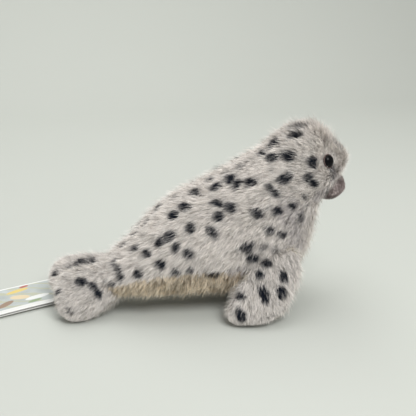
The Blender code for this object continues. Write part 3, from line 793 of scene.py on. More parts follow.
@dataclass
class Backing:
    """A panel's backing: the frame's shell, pressed towards the stuffing until the pile's share is gone."""

    node: str
    stuffing: str
    keep: float = 0.33
    levels: int = 2

    def __post_init__(self) -> None:
        """Presses the shell, and keeps each vertex's outward direction."""
        self.mesh = smoothed(self.node, self.levels)
        filling = tree_of([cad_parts[self.stuffing].data])
        count = len(self.mesh.vertices)
        points = np.empty(count * 3)
        self.mesh.vertices.foreach_get("co", points)
        points = points.reshape(-1, 3)
        nearest = np.array([filling.find_nearest(Vector(point))[0] for point in points])
        away = points - nearest
        distance = np.linalg.norm(away, axis=1, keepdims=True)
        clearance = 0.0008
        pressed = np.where(distance > clearance, clearance + (distance - clearance) * self.keep, distance)
        self.outward = unit(away)
        self.points = nearest + self.outward * pressed
        if self.stuffing == "muzzle_stuffing":
            self.points = MUZZLE_FORM.moved(self.points)
        self.mesh.vertices.foreach_set("co", self.points.ravel())
        self.mesh.update()
        self.mesh.calc_loop_triangles()
        corners = np.empty(len(self.mesh.loop_triangles) * 3, np.int32)
        self.mesh.loop_triangles.foreach_get("vertices", corners)
        self.triangles = corners.reshape(-1, 3)

    def exposed(self, cover: BVHTree) -> Points:
        """The triangles that face outwards with nothing lying on them.

        Args:
            cover: A search tree over every backing, both eyes and the nose.

        Returns:
            The exposed triangles' numbers.
        """
        clear, reach, least_facing = 0.0012, 0.0055, 0.35
        corners = self.points[self.triangles]
        facing = unit(np.cross(corners[:, 1] - corners[:, 0], corners[:, 2] - corners[:, 0]))
        outward = unit(self.outward[self.triangles].sum(axis=1))
        chosen = np.nonzero(np.einsum("ij,ij->i", facing, outward) > least_facing)[0]
        middles = corners.mean(axis=1)
        free = []
        for index in chosen:
            start = Vector(middles[index] + outward[index] * clear)
            hit = cover.ray_cast(start, Vector(outward[index]), reach)[0]
            if hit is None:
                free.append(index)
        return np.array(free, int)


@dataclass(frozen=True)
class Pile:
    """How a panel's pile stands. Lengths are in metres, and angles in degrees from the backing."""

    lay: Lay
    length: float = 0.0105
    width: float = 0.00028
    per_square_mm: float = 3.4
    root_rise: float = 46.0
    tip_rise: float = 12.0
    stray: float = 12.0
    tuft: float = 0.5
    blades_per_tuft: int = 8
    soft_spots: float = 0.28
    wild_share: float = 0.13
    wild_rise: float = 27.0
    wild_length: float = 1.3
    patchy: float = 0.12
    patch: float = 0.006


@dataclass
class Comb:
    """The direction in which the pile lies all over the toy."""

    flipper_fan: float = 0.35
    flipper_half: float = 0.025
    drooping_brow: tuple[float, float, float] = (-0.7, 0.0, -0.7)
    chest_flow: tuple[float, float, float] = (-0.30, 0.0, -1.0)
    belly_flow: tuple[float, float, float] = (-0.45, 0.0, -1.0)
    flank_flow: tuple[float, float, float] = (-1.0, 0.0, -0.30)
    cheek_flow: tuple[float, float, float] = (0.25, 0.0, -1.0)
    face_to_crown: tuple[float, float, float] = (-0.030, 0.0, 0.050)

    def __post_init__(self) -> None:
        """Finds the face, the eyes and the body's middle in the frame."""
        self.muzzle = MUZZLE_FORM.centre
        self.face = self.muzzle + np.array((0.004, 0.0, 0.012))
        self.eyes = [middle_of("eye_" + side) for side in ("left", "right")]
        self.body = middle_of("body_stuffing")

    def flipper_line(self, stuffing: str) -> tuple[Points, Points]:
        """A flipper's root and tip, from the ends of its stuffing."""
        points = points_of(stuffing)
        order = np.argsort(apart(points, self.body))
        end = max(len(order) // 8, 1)
        return points[order[:end]].mean(axis=0), points[order[-end:]].mean(axis=0)

    def direction(self, lay: Lay, points: Points, outward: Points, stuffing: str) -> Points:
        """Which way the pile lies at each root.

        Args:
            lay: How the panel is combed.
            points: The roots.
            outward: The outward directions there.
            stuffing: The filling under the panel.

        Returns:
            A direction along the backing for each root.
        """
        side = np.sign(points[:, 1:2] - MIDDLE)
        if lay is Lay.FLIPPER:
            root, tip = self.flipper_line(stuffing)
            line = unit(tip - root)
            beside = (points - root) - ((points - root) @ line)[:, None] * line
            flow = line + self.flipper_fan * beside / self.flipper_half
        elif lay is Lay.CHEST:
            flow = np.array(self.chest_flow) + np.array((0.0, 0.25, 0.0)) * side
        elif lay is Lay.BELLY:
            flow = np.array(self.belly_flow) + np.array((0.0, 0.35, 0.0)) * side
        else:
            radial = unit(points - self.face)
            lean = np.abs(outward[:, 1:2]) * smoothstep(0.115, 0.055, points[:, 2:3])
            back = np.array(self.flank_flow) - lean * np.array((0.0, 0.0, 0.55))
            far = smoothstep(0.030, 0.085, apart(points, self.face))[:, None]
            cheek = smoothstep(0.004, 0.012, np.abs(points[:, 1] - MIDDLE))
            cheek = (cheek * smoothstep(0.040, 0.026, apart(points, self.muzzle)))[:, None]
            near = radial * (1 - 0.7 * cheek) + np.array(self.cheek_flow) * 0.7 * cheek
            flow = near * (1 - far) + back * far if lay is Lay.BODY else radial
        if lay in (Lay.BODY, Lay.FACE):
            for eye in self.eyes:
                away = points - eye
                close = smoothstep(0.013, 0.006, np.linalg.norm(away, axis=1))[:, None]
                over = np.clip(unit(away) @ unit(np.array(self.drooping_brow)), 0, 1)[:, None]
                flow = flow * (1 - close) + unit(away) * close * 1.5 * (1 - 1.8 * over)
        flat = flow - np.einsum("ij,ij->i", flow, outward)[:, None] * outward
        return unit(flat)

    def rise(self, lay: Lay, points: Points) -> Points:
        """How many degrees more the pile stands up than it does on the flank."""
        extra = np.zeros(len(points))
        if lay is Lay.BODY:
            crown = apart(points, self.face + np.array(self.face_to_crown))
            extra += 26 * smoothstep(0.045, 0.010, crown)
            extra += 10 * smoothstep(0.060, 0.025, apart(points, self.face))
        return extra

    def trim(self, lay: Lay, points: Points, stuffing: str) -> Points:
        """How much of its length the pile keeps: less round the eyes, by the muzzle and at the floor."""
        keep = np.ones(len(points))
        for eye in self.eyes:
            away = apart(points, eye)
            brow = np.clip(unit(points - eye) @ unit(np.array(self.drooping_brow)), 0, 1)
            keep *= 0.33 + 0.25 * brow + (0.67 - 0.25 * brow) * smoothstep(0.0065, 0.0150, away)
        if lay is Lay.BODY:
            near = smoothstep(0.020, 0.040, apart(points, self.face))
            keep *= 0.70 + 0.30 * near
            under = smoothstep(0.013, 0.002, points[:, 2] - self.muzzle[2])
            keep *= 1 - 0.75 * under * smoothstep(0.036, 0.024, apart(points, self.muzzle))
            keep *= 1 + smoothstep(0.052, 0.034, points[:, 2]) * (0.22 + 0.22 * ripple(points, 0.004, 61))
        if lay is Lay.FLIPPER:
            root, tip = self.flipper_line(stuffing)
            share = (points - root) @ (tip - root) / ((tip - root) @ (tip - root))
            keep *= 1 - 0.40 * smoothstep(0.70, 1.15, share)
        keep *= 0.45 + 0.55 * smoothstep(0.001, 0.012, points[:, 2])
        return keep


@dataclass
class PileMaker:
    """Grows blades of pile on the backings, as meshes."""

    comb: Comb
    markings: Markings
    zones: Markings
    cover: BVHTree
    most_blades: int = 62000
    lowest: float = 0.0003
    floor_spread: float = 0.0009
    rises: tuple[float, float] = (6, 88)
    twist: float = 60

    def values(self, mesh: bpy.types.Mesh, **columns: Points) -> None:
        """Stores a value for each vertex under each name."""
        for name, numbers in columns.items():
            layer = mesh.attributes.new(name, "FLOAT", "POINT")
            layer.data.foreach_set("value", np.asarray(numbers, np.float32).ravel())

    def dress_backing(self, backing: Backing, tint: Points | None) -> None:
        """Gives a backing the colours of the pile that stands on it, mostly the root's painted shade."""
        spots = self.markings.strength(backing.points, 0.35)
        count = len(backing.points)
        # A fifth of the way up a blade: mostly the root's painted shade, with the spots' dye a little
        # fainter.
        self.values(
            backing.mesh, spot=spots * 0.9, along=np.full(count, 0.18), tone=np.full(count, 0.5),
            tint=np.zeros(count) if tint is None else tint,
        )
        backing.mesh.shade_smooth()

    def roots(self, backing: Backing, pile: Pile, rng: np.random.Generator) -> tuple[Points, Points]:
        """Roots spread evenly over a backing's exposed faces, and the outward directions there."""
        free = backing.exposed(self.cover)
        corners = backing.points[backing.triangles[free]]
        edges = corners[:, 1:] - corners[:, :1]
        area = np.linalg.norm(np.cross(edges[:, 0], edges[:, 1]), axis=1) / 2
        count = int(area.sum() * 1e6 * pile.per_square_mm)
        chosen = rng.choice(len(free), count, p=area / area.sum())
        a, b = rng.random(count), rng.random(count)
        over = a + b > 1
        a[over], b[over] = 1 - a[over], 1 - b[over]
        weights = np.stack([1 - a - b, a, b], axis=1)
        points = np.einsum("ij,ijk->ik", weights, corners[chosen])
        normals = np.einsum("ij,ijk->ik", weights, backing.outward[backing.triangles[free[chosen]]])
        return points, unit(normals)

    def grow(self, backing: Backing, pile: Pile, seed: int) -> tuple[Points, ...]:
        """Places every blade of a panel.

        Args:
            backing: The panel's backing.
            pile: How its pile stands.
            seed: Picks the blades.

        Returns:
            The roots, middles and tips, the sideways direction of each blade, and its random tone.
        """
        rng = np.random.default_rng(seed)
        roots, outward = self.roots(backing, pile, rng)
        count = len(roots)
        lie = self.comb.direction(pile.lay, roots, outward, backing.stuffing)
        sideways = np.cross(outward, lie)
        swirl = np.radians(pile.stray) * (rng.normal(size=count) * 0.8 + ripple(roots, 0.009, seed + 1) * 0.8)
        lie = lie * np.cos(swirl)[:, None] + sideways * np.sin(swirl)[:, None]
        extra = self.comb.rise(pile.lay, roots)
        extra = extra + rng.normal(size=count) * pile.stray * 0.5 + ripple(roots, 0.007, seed + 2) * 7
        kept = self.comb.trim(pile.lay, roots, backing.stuffing)
        length = pile.length * kept * (1 - pile.patchy + pile.patchy * ripple(roots, pile.patch, seed + 3))
        wild = rng.random(count) < pile.wild_share
        extra = extra + wild * pile.wild_rise
        length = (length * rng.uniform(0.70, 1.12, count) * np.where(wild, pile.wild_length, 1.0))[:, None]

        def heading(rise: float) -> Points:
            """The direction of each blade at a number of degrees above the backing."""
            angle = np.radians(np.clip(rise + extra, *self.rises))[:, None]
            return lie * np.cos(angle) + outward * np.sin(angle)

        middles = roots + heading(pile.root_rise) * length * 0.5
        tips = middles + heading(pile.tip_rise) * length * 0.5
        tone = rng.random(count)
        middles, tips, tone = self.gather(pile, middles, tips, tone, wild, rng)
        height = self.lowest + self.floor_spread * rng.random(count)
        middles[:, 2] = np.maximum(middles[:, 2], height)
        tips[:, 2] = np.maximum(tips[:, 2], height)
        twist = np.radians(rng.uniform(-self.twist, self.twist, count))[:, None]
        forward = unit(tips - roots)
        flat = unit(np.cross(outward, forward))
        wide = flat * np.cos(twist) + np.cross(forward, flat) * np.sin(twist)
        return roots, middles, tips, wide, tone

    def gather(
        self, pile: Pile, middles: Points, tips: Points, tone: Points, wild: Points, rng: np.random.Generator
    ) -> tuple[Points, Points, Points]:
        """Draws the blades' tips together into small tufts, each of about one tone.

        Args:
            pile: How the pile stands.
            middles: The blades' middles.
            tips: The blades' tips.
            tone: The blades' own tones.
            wild: Which blades stand out of their tuft.
            rng: Draws the tufts.

        Returns:
            The middles, tips and tones.
        """
        count = len(tips)
        leaders = rng.choice(count, max(count // pile.blades_per_tuft, 1), replace=False)
        search = KDTree(len(leaders))
        for place, leader in enumerate(leaders):
            search.insert(Vector(tips[leader]), place)
        search.balance()
        nearest = leaders[[search.find(Vector(tip))[1] for tip in tips]]
        pull = (pile.tuft * rng.uniform(0.4, 1.3, count) * np.where(wild, 0.15, 1.0))[:, None]
        shift = (tips[nearest] - tips) * pull
        return middles + shift * 0.35, tips + shift, tone * 0.45 + tone[nearest] * 0.55

    def mesh(
        self, name: str, blades: tuple[Points, ...], width: float, spot: Points, tint: Points
    ) -> bpy.types.Mesh:
        """Makes the blades' mesh: a narrow quad from root to middle, and a triangle on to the tip.

        Args:
            name: The mesh's name.
            blades: What grow gives, or some of it.
            width: A blade's width at its root.
            spot: The share of spot dye at each blade's middle and tip.
            tint: Each blade's share of tint.

        Returns:
            The mesh, with its values and a bake layout that has a cell for each blade.
        """
        order = np.lexsort((np.round(tint * 4), np.round(spot.sum(axis=1) * 3)))
        roots, middles, tips, wide, tone = (part[order] for part in blades)
        spot, tint = spot[order], tint[order]
        count = len(roots)
        half = wide * width / 2
        upper = half * 0.85
        points = np.stack([roots - half, roots + half, middles + upper, middles - upper, tips], axis=1)
        first = (np.arange(count) * 5)[:, None]
        corners = (first + np.array([0, 1, 2, 3, 3, 2, 4])).ravel()
        mesh = bpy.data.meshes.new(name)
        mesh.vertices.add(count * 5)
        mesh.vertices.foreach_set("co", points.astype(np.float32).ravel())
        mesh.loops.add(count * 7)
        mesh.loops.foreach_set("vertex_index", corners.astype(np.int32))
        mesh.polygons.add(count * 2)
        starts = (np.arange(count) * 7)[:, None] + np.array([0, 4])
        mesh.polygons.foreach_set("loop_start", starts.astype(np.int32).ravel())
        mesh.update(calc_edges=True)
        blade = np.ones((count, 5))
        self.values(
            mesh, spot=spot[:, [0, 0, 0, 0, 1]], tint=blade * tint[:, None], tone=blade * tone[:, None],
            along=blade * np.array([0.0, 0.0, 0.55, 0.55, 1.0]),
        )
        cells = math.ceil(math.sqrt(count))
        cell = np.stack([np.arange(count) % cells, np.arange(count) // cells], axis=1)[:, None, :]
        left, right, bottom, half_up, top = 0.15, 0.85, 0.1, 0.5, 0.9
        inside = np.array([
            (left, bottom), (right, bottom), (right, half_up), (left, half_up),
            (left, half_up), (right, half_up), (0.5, top),
        ])
        layout = mesh.uv_layers.new(name="OFBake")
        layout.data.foreach_set("uv", ((cell + inside) / cells).astype(np.float32).ravel())
        mesh.shade_smooth()
        return mesh


@dataclass
class PilePanel:
    """One sewn panel: its backing, and the pile that stands on it."""

    node: str
    stuffing: str
    slot: Slot
    finish: PileFinish
    pile: Pile
    seed: int
    keep: float = 0.33
    fill: float = 0.55
    mouth: tuple[str, ...] = ()
    # How strongly the chosen blades in a zone take the tint, as speckle and painted shade.
    speckle_and_shade_tint: float = 0.85
    pale_strands: float = 0.8
    pale_strand_dye: float = 0.6

    def prepare(self) -> Backing:
        """Makes the backing, which the other panels' pile has to clear."""
        self.backing = Backing(self.node, self.stuffing, self.keep)
        return self.backing

    def tint(self, maker: PileMaker, points: Points) -> Points:
        """Where the tint goes: darker along the seam between the muzzle and the chin, or in the zones of
        speckle and painted shade.
        """
        if self.mouth:
            lips = tree_of([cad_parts[name].data for name in self.mouth])
            away = np.array([lips.find_nearest(Vector(point))[3] for point in MUZZLE_FORM.unmoved(points)])
            return smoothstep(0.0034, 0.0014, away)
        return np.zeros(len(points)) if self.slot is Slot.PALE else maker.zones.strength(points, 0.5)

    def dyed(self, maker: PileMaker, places: Points, ragged: Points) -> Points:
        """The dye at places on the blades, with an edge as ragged as separate strands make it."""
        spot = maker.markings.strength(places, self.pile.soft_spots)
        return smoothstep(0.30, 0.64, spot + ragged) * (spot > 0.03)

    def build(self, maker: PileMaker, material: bpy.types.Material) -> None:
        """Makes the panel's pieces: its backing, and its pile in one or more bands along the toy.

        Args:
            maker: Grows the pile.
            material: The fabric's material.
        """
        maker.dress_backing(self.backing, self.tint(maker, self.backing.points))
        backing = link(self.node + "_backing", self.backing.mesh, material)
        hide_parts(self.node)
        blades = maker.grow(self.backing, self.pile, self.seed)
        roots, middles, tips, _, tone = blades
        seen = middles * 0.5 + tips * 0.5
        # On the spotted panels a share of the blades in each zone takes the tint, as speckle and painted
        # shade; the belly takes the tint evenly, as painted shade at the armpit.
        tint = self.tint(maker, seen)
        speckle = np.random.default_rng(self.seed + 9).random(len(tone))
        if self.slot is Slot.SPOTTED:
            tint = (speckle < tint) * self.speckle_and_shade_tint
        ragged = 0.45 * (speckle - 0.5) + 0.10 * ripple(seen, 0.0014, self.seed)
        spot = np.stack([self.dyed(maker, place, ragged) for place in (middles, tips)], axis=1)
        spot = spot * np.where(tone > self.pale_strands, self.pale_strand_dye, 1.0)[:, None]
        bands = math.ceil(len(roots) / maker.most_blades)
        order = np.argsort(roots[:, 0], kind="stable")
        for band, members in enumerate(np.array_split(order, bands)):
            name = self.node + "_pile" + ("" if bands == 1 else f"_{band + 1}")
            part = tuple(column[members] for column in blades)
            mesh = maker.mesh(name, part, self.pile.width, spot[members], tint[members])
            link(name, mesh, material)


BODY_PILE = Pile(Lay.BODY)
CHEST_PILE = Pile(Lay.CHEST, length=0.0090, root_rise=44, tip_rise=12)
BELLY_PILE = Pile(
    Lay.BELLY, length=0.0100, per_square_mm=2.8, root_rise=60, tip_rise=32, tuft=0.85, blades_per_tuft=20,
    wild_share=0.2, patchy=0.22, patch=0.0028,
)
FLIPPER_PILE = Pile(Lay.FLIPPER, length=0.0085, root_rise=42, tip_rise=10)
SOLE_PILE = Pile(Lay.FLIPPER, length=0.0090, per_square_mm=2.8, root_rise=45, tip_rise=18, wild_share=0.3)
SHORT_PILE = Pile(
    Lay.FACE, length=0.0022, width=0.00022, per_square_mm=7.0, root_rise=60, tip_rise=35, tuft=0.15,
    wild_share=0.0,
)
MUZZLE_KEEP = 0.5


def panels() -> list[PilePanel]:
    """Every sewn panel of the toy."""
    made = []
    for number, side in enumerate(("right", "left")):
        made.append(PilePanel(
            "coat_" + side, "body_stuffing", Slot.SPOTTED, COAT_FINISH, BODY_PILE, 100 + number,
        ))
        made.append(PilePanel(
            "muzzle_" + side, "muzzle_stuffing", Slot.MUZZLE, MUZZLE_FINISH, SHORT_PILE, 110 + number,
            keep=MUZZLE_KEEP, mouth=("chin",),
        ))
        for pair in ("front", "rear"):
            name = f"{pair}_flipper_{side}"
            filling = name + "_stuffing"
            seed = 120 + 10 * number + len(pair)
            made.append(PilePanel(name + "_top", filling, Slot.SPOTTED, FLIPPER_FINISH, FLIPPER_PILE, seed))
            made.append(PilePanel(name + "_underside", filling, Slot.PALE, PALE_FINISH, SOLE_PILE, seed + 50))
    made.append(PilePanel("belly_panel", "body_stuffing", Slot.BELLY, BELLY_FINISH, BELLY_PILE, 201))
    made.append(PilePanel("chest_panel", "body_stuffing", Slot.PALE, PALE_FINISH, CHEST_PILE, 202))
    made.append(PilePanel(
        "chin", "muzzle_stuffing", Slot.MUZZLE, MUZZLE_FINISH, SHORT_PILE, 203,
        keep=MUZZLE_KEEP, mouth=("muzzle_left", "muzzle_right"),
    ))
    return made


def lathe(name: str, profile: list[tuple[float, float]], steps: int, place: Matrix) -> bpy.types.Mesh:
    """A turned shape.

    Args:
        name: The mesh's name.
        profile: Radius and height from the top to the bottom. Both ends lie on the axis.
        steps: How many faces go round.
        place: Where its own axes go in the frame.

    Returns:
        The closed mesh.
    """
    points = [place @ Vector((0, 0, profile[0][1]))]
    for radius, height in profile[1:-1]:
        for step in range(steps):
            turn = 2 * math.pi * step / steps
            points.append(place @ Vector((radius * math.cos(turn), radius * math.sin(turn), height)))
    points.append(place @ Vector((0, 0, profile[-1][1])))
    last = len(points) - 1
    faces = [(0, 1 + step, 1 + (step + 1) % steps) for step in range(steps)]
    for ring in range(len(profile) - 3):
        for step in range(steps):
            a, b = 1 + ring * steps + step, 1 + ring * steps + (step + 1) % steps
            faces.append((a, a + steps, b + steps, b))
    lowest = last - steps
    faces += [(last, lowest + (step + 1) % steps, lowest + step) for step in range(steps)]
    mesh = bpy.data.meshes.new(name)
    mesh.from_pydata(points, [], faces)
    mesh.update()
    return mesh


@dataclass
class Eye:
    """A polished bead on its shank, with a soft lid of felt round its rim."""

    side: str
    steps: int = 48
    dome_rings: int = 10
    shown: float = 0.87
    sunk: float = 0.0005
    forward: float = 0.0013
    lid_radius: float = 0.0005
    lid_lift: float = 0.0002

    def place(self) -> tuple[Matrix, float, float, float]:
        """The bead's place, radius, dome height and whole length, read from the frame's own bead."""
        node = "eye_" + self.side
        points = points_of(node)
        spans = np.linalg.norm(points[:, None] - points[None], axis=2)
        a, b = np.unravel_index(np.argmax(spans), spans.shape)
        body = middle_of("body_stuffing")
        top, end = (a, b) if np.linalg.norm(points[a] - body) > np.linalg.norm(points[b] - body) else (b, a)
        axis = unit(points[top] - points[end])
        along = (points - points[top]) @ axis
        aside = np.linalg.norm(points - points[top] - along[:, None] * axis, axis=1)
        radius = aside.max()
        dome = -along[aside > radius * 0.98].max()
        matrix = Vector(axis).to_track_quat("Z", "Y").to_matrix().to_4x4()
        rim = Vector(points[top] - axis * (dome + self.sunk))
        matrix.translation = rim + Vector((self.forward, 0.0, 0.0))
        return matrix, float(radius) * self.shown, float(dome), float(spans[a, b])

    def build(self, bead: bpy.types.Material, felt: bpy.types.Material) -> None:
        """Makes the bead and its lid."""
        matrix, radius, dome, length = self.place()
        angles = [math.pi / 2 * (1 - ring / self.dome_rings) for ring in range(self.dome_rings + 1)]
        profile = [(radius * math.cos(angle), dome * math.sin(angle)) for angle in angles]
        rim, shank, end = 0.0012, 0.0017, dome - length
        profile += [(radius * 0.97, -rim), (shank, -rim), (shank, end), (0.0, end)]
        mesh = lathe("eye_bead", profile, self.steps, matrix)
        mesh.shade_smooth()
        made = link(f"eye_{self.side}_bead", mesh, bead)
        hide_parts("eye_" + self.side)
        link(f"eye_{self.side}_lid", self.lid(matrix, radius), felt)

    def lid(self, matrix: Matrix, radius: float) -> bpy.types.Mesh:
        """A ring of felt that hugs the bead's rim, fuller at the front and back of the eye."""
        around, across = self.steps, 10
        points, faces = [], []
        for step in range(around):
            turn = 2 * math.pi * step / around
            thick = self.lid_radius * (1 + 0.25 * math.cos(2 * turn))
            for ring in range(across):
                angle = 2 * math.pi * ring / across
                reach = radius + 0.0003 + thick * math.cos(angle)
                height = self.lid_lift + thick * 0.9 * math.sin(angle)
                points.append(matrix @ Vector((reach * math.cos(turn), reach * math.sin(turn), height)))
        for step in range(around):
            for ring in range(across):
                here, there = step * across, (step + 1) % around * across
                after = (ring + 1) % across
                faces.append((here + ring, there + ring, there + after, here + after))
        mesh = bpy.data.meshes.new("eye_lid")
        mesh.from_pydata(points, [], faces)
        mesh.shade_smooth()
        return mesh


@dataclass
class Nose:
    """The nose's moulded oval, broader above than below."""

    narrowing: float = 0.22
    flush: float = 0.6

    def build(self, material: bpy.types.Material) -> None:
        """Makes the nose from the frame's own."""
        mesh = smoothed("nose", 2)
        low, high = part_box("nose")
        middle, half = (low + high) / 2, (high - low) / 2
        for vertex in mesh.vertices:
            height = (vertex.co.z - middle.z) / half.z
            vertex.co.y = middle.y + (vertex.co.y - middle.y) * (1 - self.narrowing * (1 - height) / 2)
            vertex.co.x -= self.flush * max(vertex.co.x - middle.x, 0.0)
            vertex.co = MUZZLE_FORM.moved(np.array(vertex.co)[None])[0]
        mesh.shade_smooth()
        made = link("nose_oval", mesh, material)
        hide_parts("nose")


@dataclass
class Wadding:
    """The fibre filling inside the skins, a little lumpy."""

    nodes: tuple[str, ...] = (
        "body_stuffing", "muzzle_stuffing", "front_flipper_right_stuffing", "front_flipper_left_stuffing",
        "rear_flipper_right_stuffing", "rear_flipper_left_stuffing",
    )
    lump: float = 0.0012
    lump_size: float = 0.012
    fill: float = 0.6

    def build(self, material: bpy.types.Material) -> None:
        """Makes each filling, its lumps pressed inwards so that it stays inside its skin."""
        for number, node in enumerate(self.nodes):
            mesh = smoothed(node, 1)
            count = len(mesh.vertices)
            points = np.array([vertex.co for vertex in mesh.vertices])
            normals = np.array([vertex.normal for vertex in mesh.vertices])
            depth = self.lump * (0.5 + 0.5 * np.clip(ripple(points, self.lump_size, number), -1, 1))
            points = points - normals * depth[:, None]
            if node == "muzzle_stuffing":
                points = MUZZLE_FORM.moved(points)
            mesh.vertices.foreach_set("co", points.reshape(count * 3))
            mesh.shade_smooth()
            piece = link(node + "_wadding", mesh, material)
            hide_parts(node)


def patch_group() -> bpy.types.NodeTree:
    """A soft-edged oval patch on a card, as a mask."""
    tree = group(
        "printed_patch",
        {"U": 0.0, "V": 0.0, "Centre U": 0.5, "Centre V": 0.5, "Half U": 0.1, "Half V": 0.1, "Lean": 0.0},
        {"Mask": "Float"},
    )
    nodes = Nodes(tree)
    coming, going = group_ends(tree)
    v = nodes.math("SUBTRACT", coming["V"], coming["Centre V"])
    u = nodes.math("SUBTRACT", coming["U"], coming["Centre U"])
    leaning = nodes.math("SUBTRACT", u, nodes.math("MULTIPLY", v, coming["Lean"]))
    a = nodes.math("POWER", nodes.math("ABSOLUTE", nodes.math("DIVIDE", leaning, coming["Half U"])), 2.0)
    b = nodes.math("POWER", nodes.math("ABSOLUTE", nodes.math("DIVIDE", v, coming["Half V"])), 2.0)
    reach = nodes.math("ADD", a, b)
    nodes.feed(going["Mask"], nodes.ramp(reach, (0.0, 1.0), (0.85, 1.0), (1.0, 0.0)))
    return tree


@dataclass(frozen=True)
class Patch:
    """A printed patch on the card, in shares of the card's length and width."""

    centre: tuple[float, float]
    half: tuple[float, float]
    lean: float
    ink: Colour


@dataclass(frozen=True)
class CardFinish:
    """Coated card, printed with a plain field, loose strokes and a few small patches."""

    name: str
    field_ink: Colour
    stroke_ink: Colour
    patches: tuple[Patch, ...]
    border: float = 0.03
    roughness: float = 0.32
    haze: Colour = (0.62, 0.66, 0.67)
    bare_card: Colour = (0.82, 0.82, 0.80)

    def material(self, groups: Groups, patch: bpy.types.NodeTree) -> bpy.types.Material:
        """Makes the printed card's material."""
        made, nodes, shader = new_material(self.name)
        place = nodes.add("UVMap", uv_map="print").outputs["UV"]
        split = nodes.add("SeparateXYZ")
        nodes.feed(split.inputs[0], place)
        u, v = split.outputs["X"], split.outputs["Y"]
        wave = nodes.add("TexWave", wave_type="BANDS", bands_direction="DIAGONAL")
        nodes.feed(wave.inputs["Vector"], place)
        set_inputs(wave, Scale=2.2, Distortion=6.0, Detail=2.0)
        strokes = nodes.ramp(wave.outputs["Fac"], (0.0, 0.0), (0.72, 0.0), (0.90, 1.0))
        cloud = nodes.mix(nodes.noise(60.0, 3.0), self.field_ink, self.haze)
        colour = nodes.mix(strokes, cloud, self.stroke_ink)
        for printed in self.patches:
            mask = groups.place(nodes, patch, {
                "U": u, "V": v, "Centre U": printed.centre[0], "Centre V": printed.centre[1],
                "Half U": printed.half[0], "Half V": printed.half[1], "Lean": printed.lean,
            })
            colour = nodes.mix(mask.outputs["Mask"], colour, printed.ink)
        edge = nodes.math("MINIMUM", v, nodes.math("SUBTRACT", 1.0, v))
        bare = nodes.ramp(edge, (0.0, 1.0), (self.border, 1.0), (self.border * 1.3, 0.0))
        nodes.feed(shader.inputs["Base Color"], nodes.mix(bare, colour, self.bare_card))
        set_inputs(shader, Roughness=self.roughness)
        groups.roughen(nodes, shader, (1500.0, 200.0), 0.05, 0.0002)
        return made


TOP_PRINT = CardFinish(
    "printed_card_top", (0.29, 0.32, 0.30), (0.46, 0.47, 0.36),
    (
        Patch((0.10, 0.70), (0.08, 0.10), 0.3, (0.40, 0.52, 0.55)),
        Patch((0.40, 0.80), (0.11, 0.07), 0.9, (0.72, 0.55, 0.16)),
        Patch((0.49, 0.92), (0.05, 0.04), 0.5, (0.42, 0.10, 0.07)),
        Patch((0.20, 0.35), (0.07, 0.12), 0.6, (0.30, 0.20, 0.14)),
        Patch((0.38, 0.52), (0.09, 0.11), -0.4, (0.70, 0.58, 0.38)),
        Patch((0.54, 0.38), (0.13, 0.08), 0.5, (0.78, 0.79, 0.78)),
        Patch((0.49, 0.24), (0.07, 0.06), 0.7, (0.26, 0.34, 0.19)),
        Patch((0.80, 0.24), (0.09, 0.07), 0.8, (0.70, 0.38, 0.22)),
        Patch((0.40, 0.08), (0.46, 0.08), 0.0, (0.76, 0.76, 0.74)),
    ),
)
INNER_PRINT = CardFinish(
    "printed_card_inside", (0.74, 0.46, 0.33), (0.80, 0.60, 0.46), (), border=0.05, roughness=0.4,
)


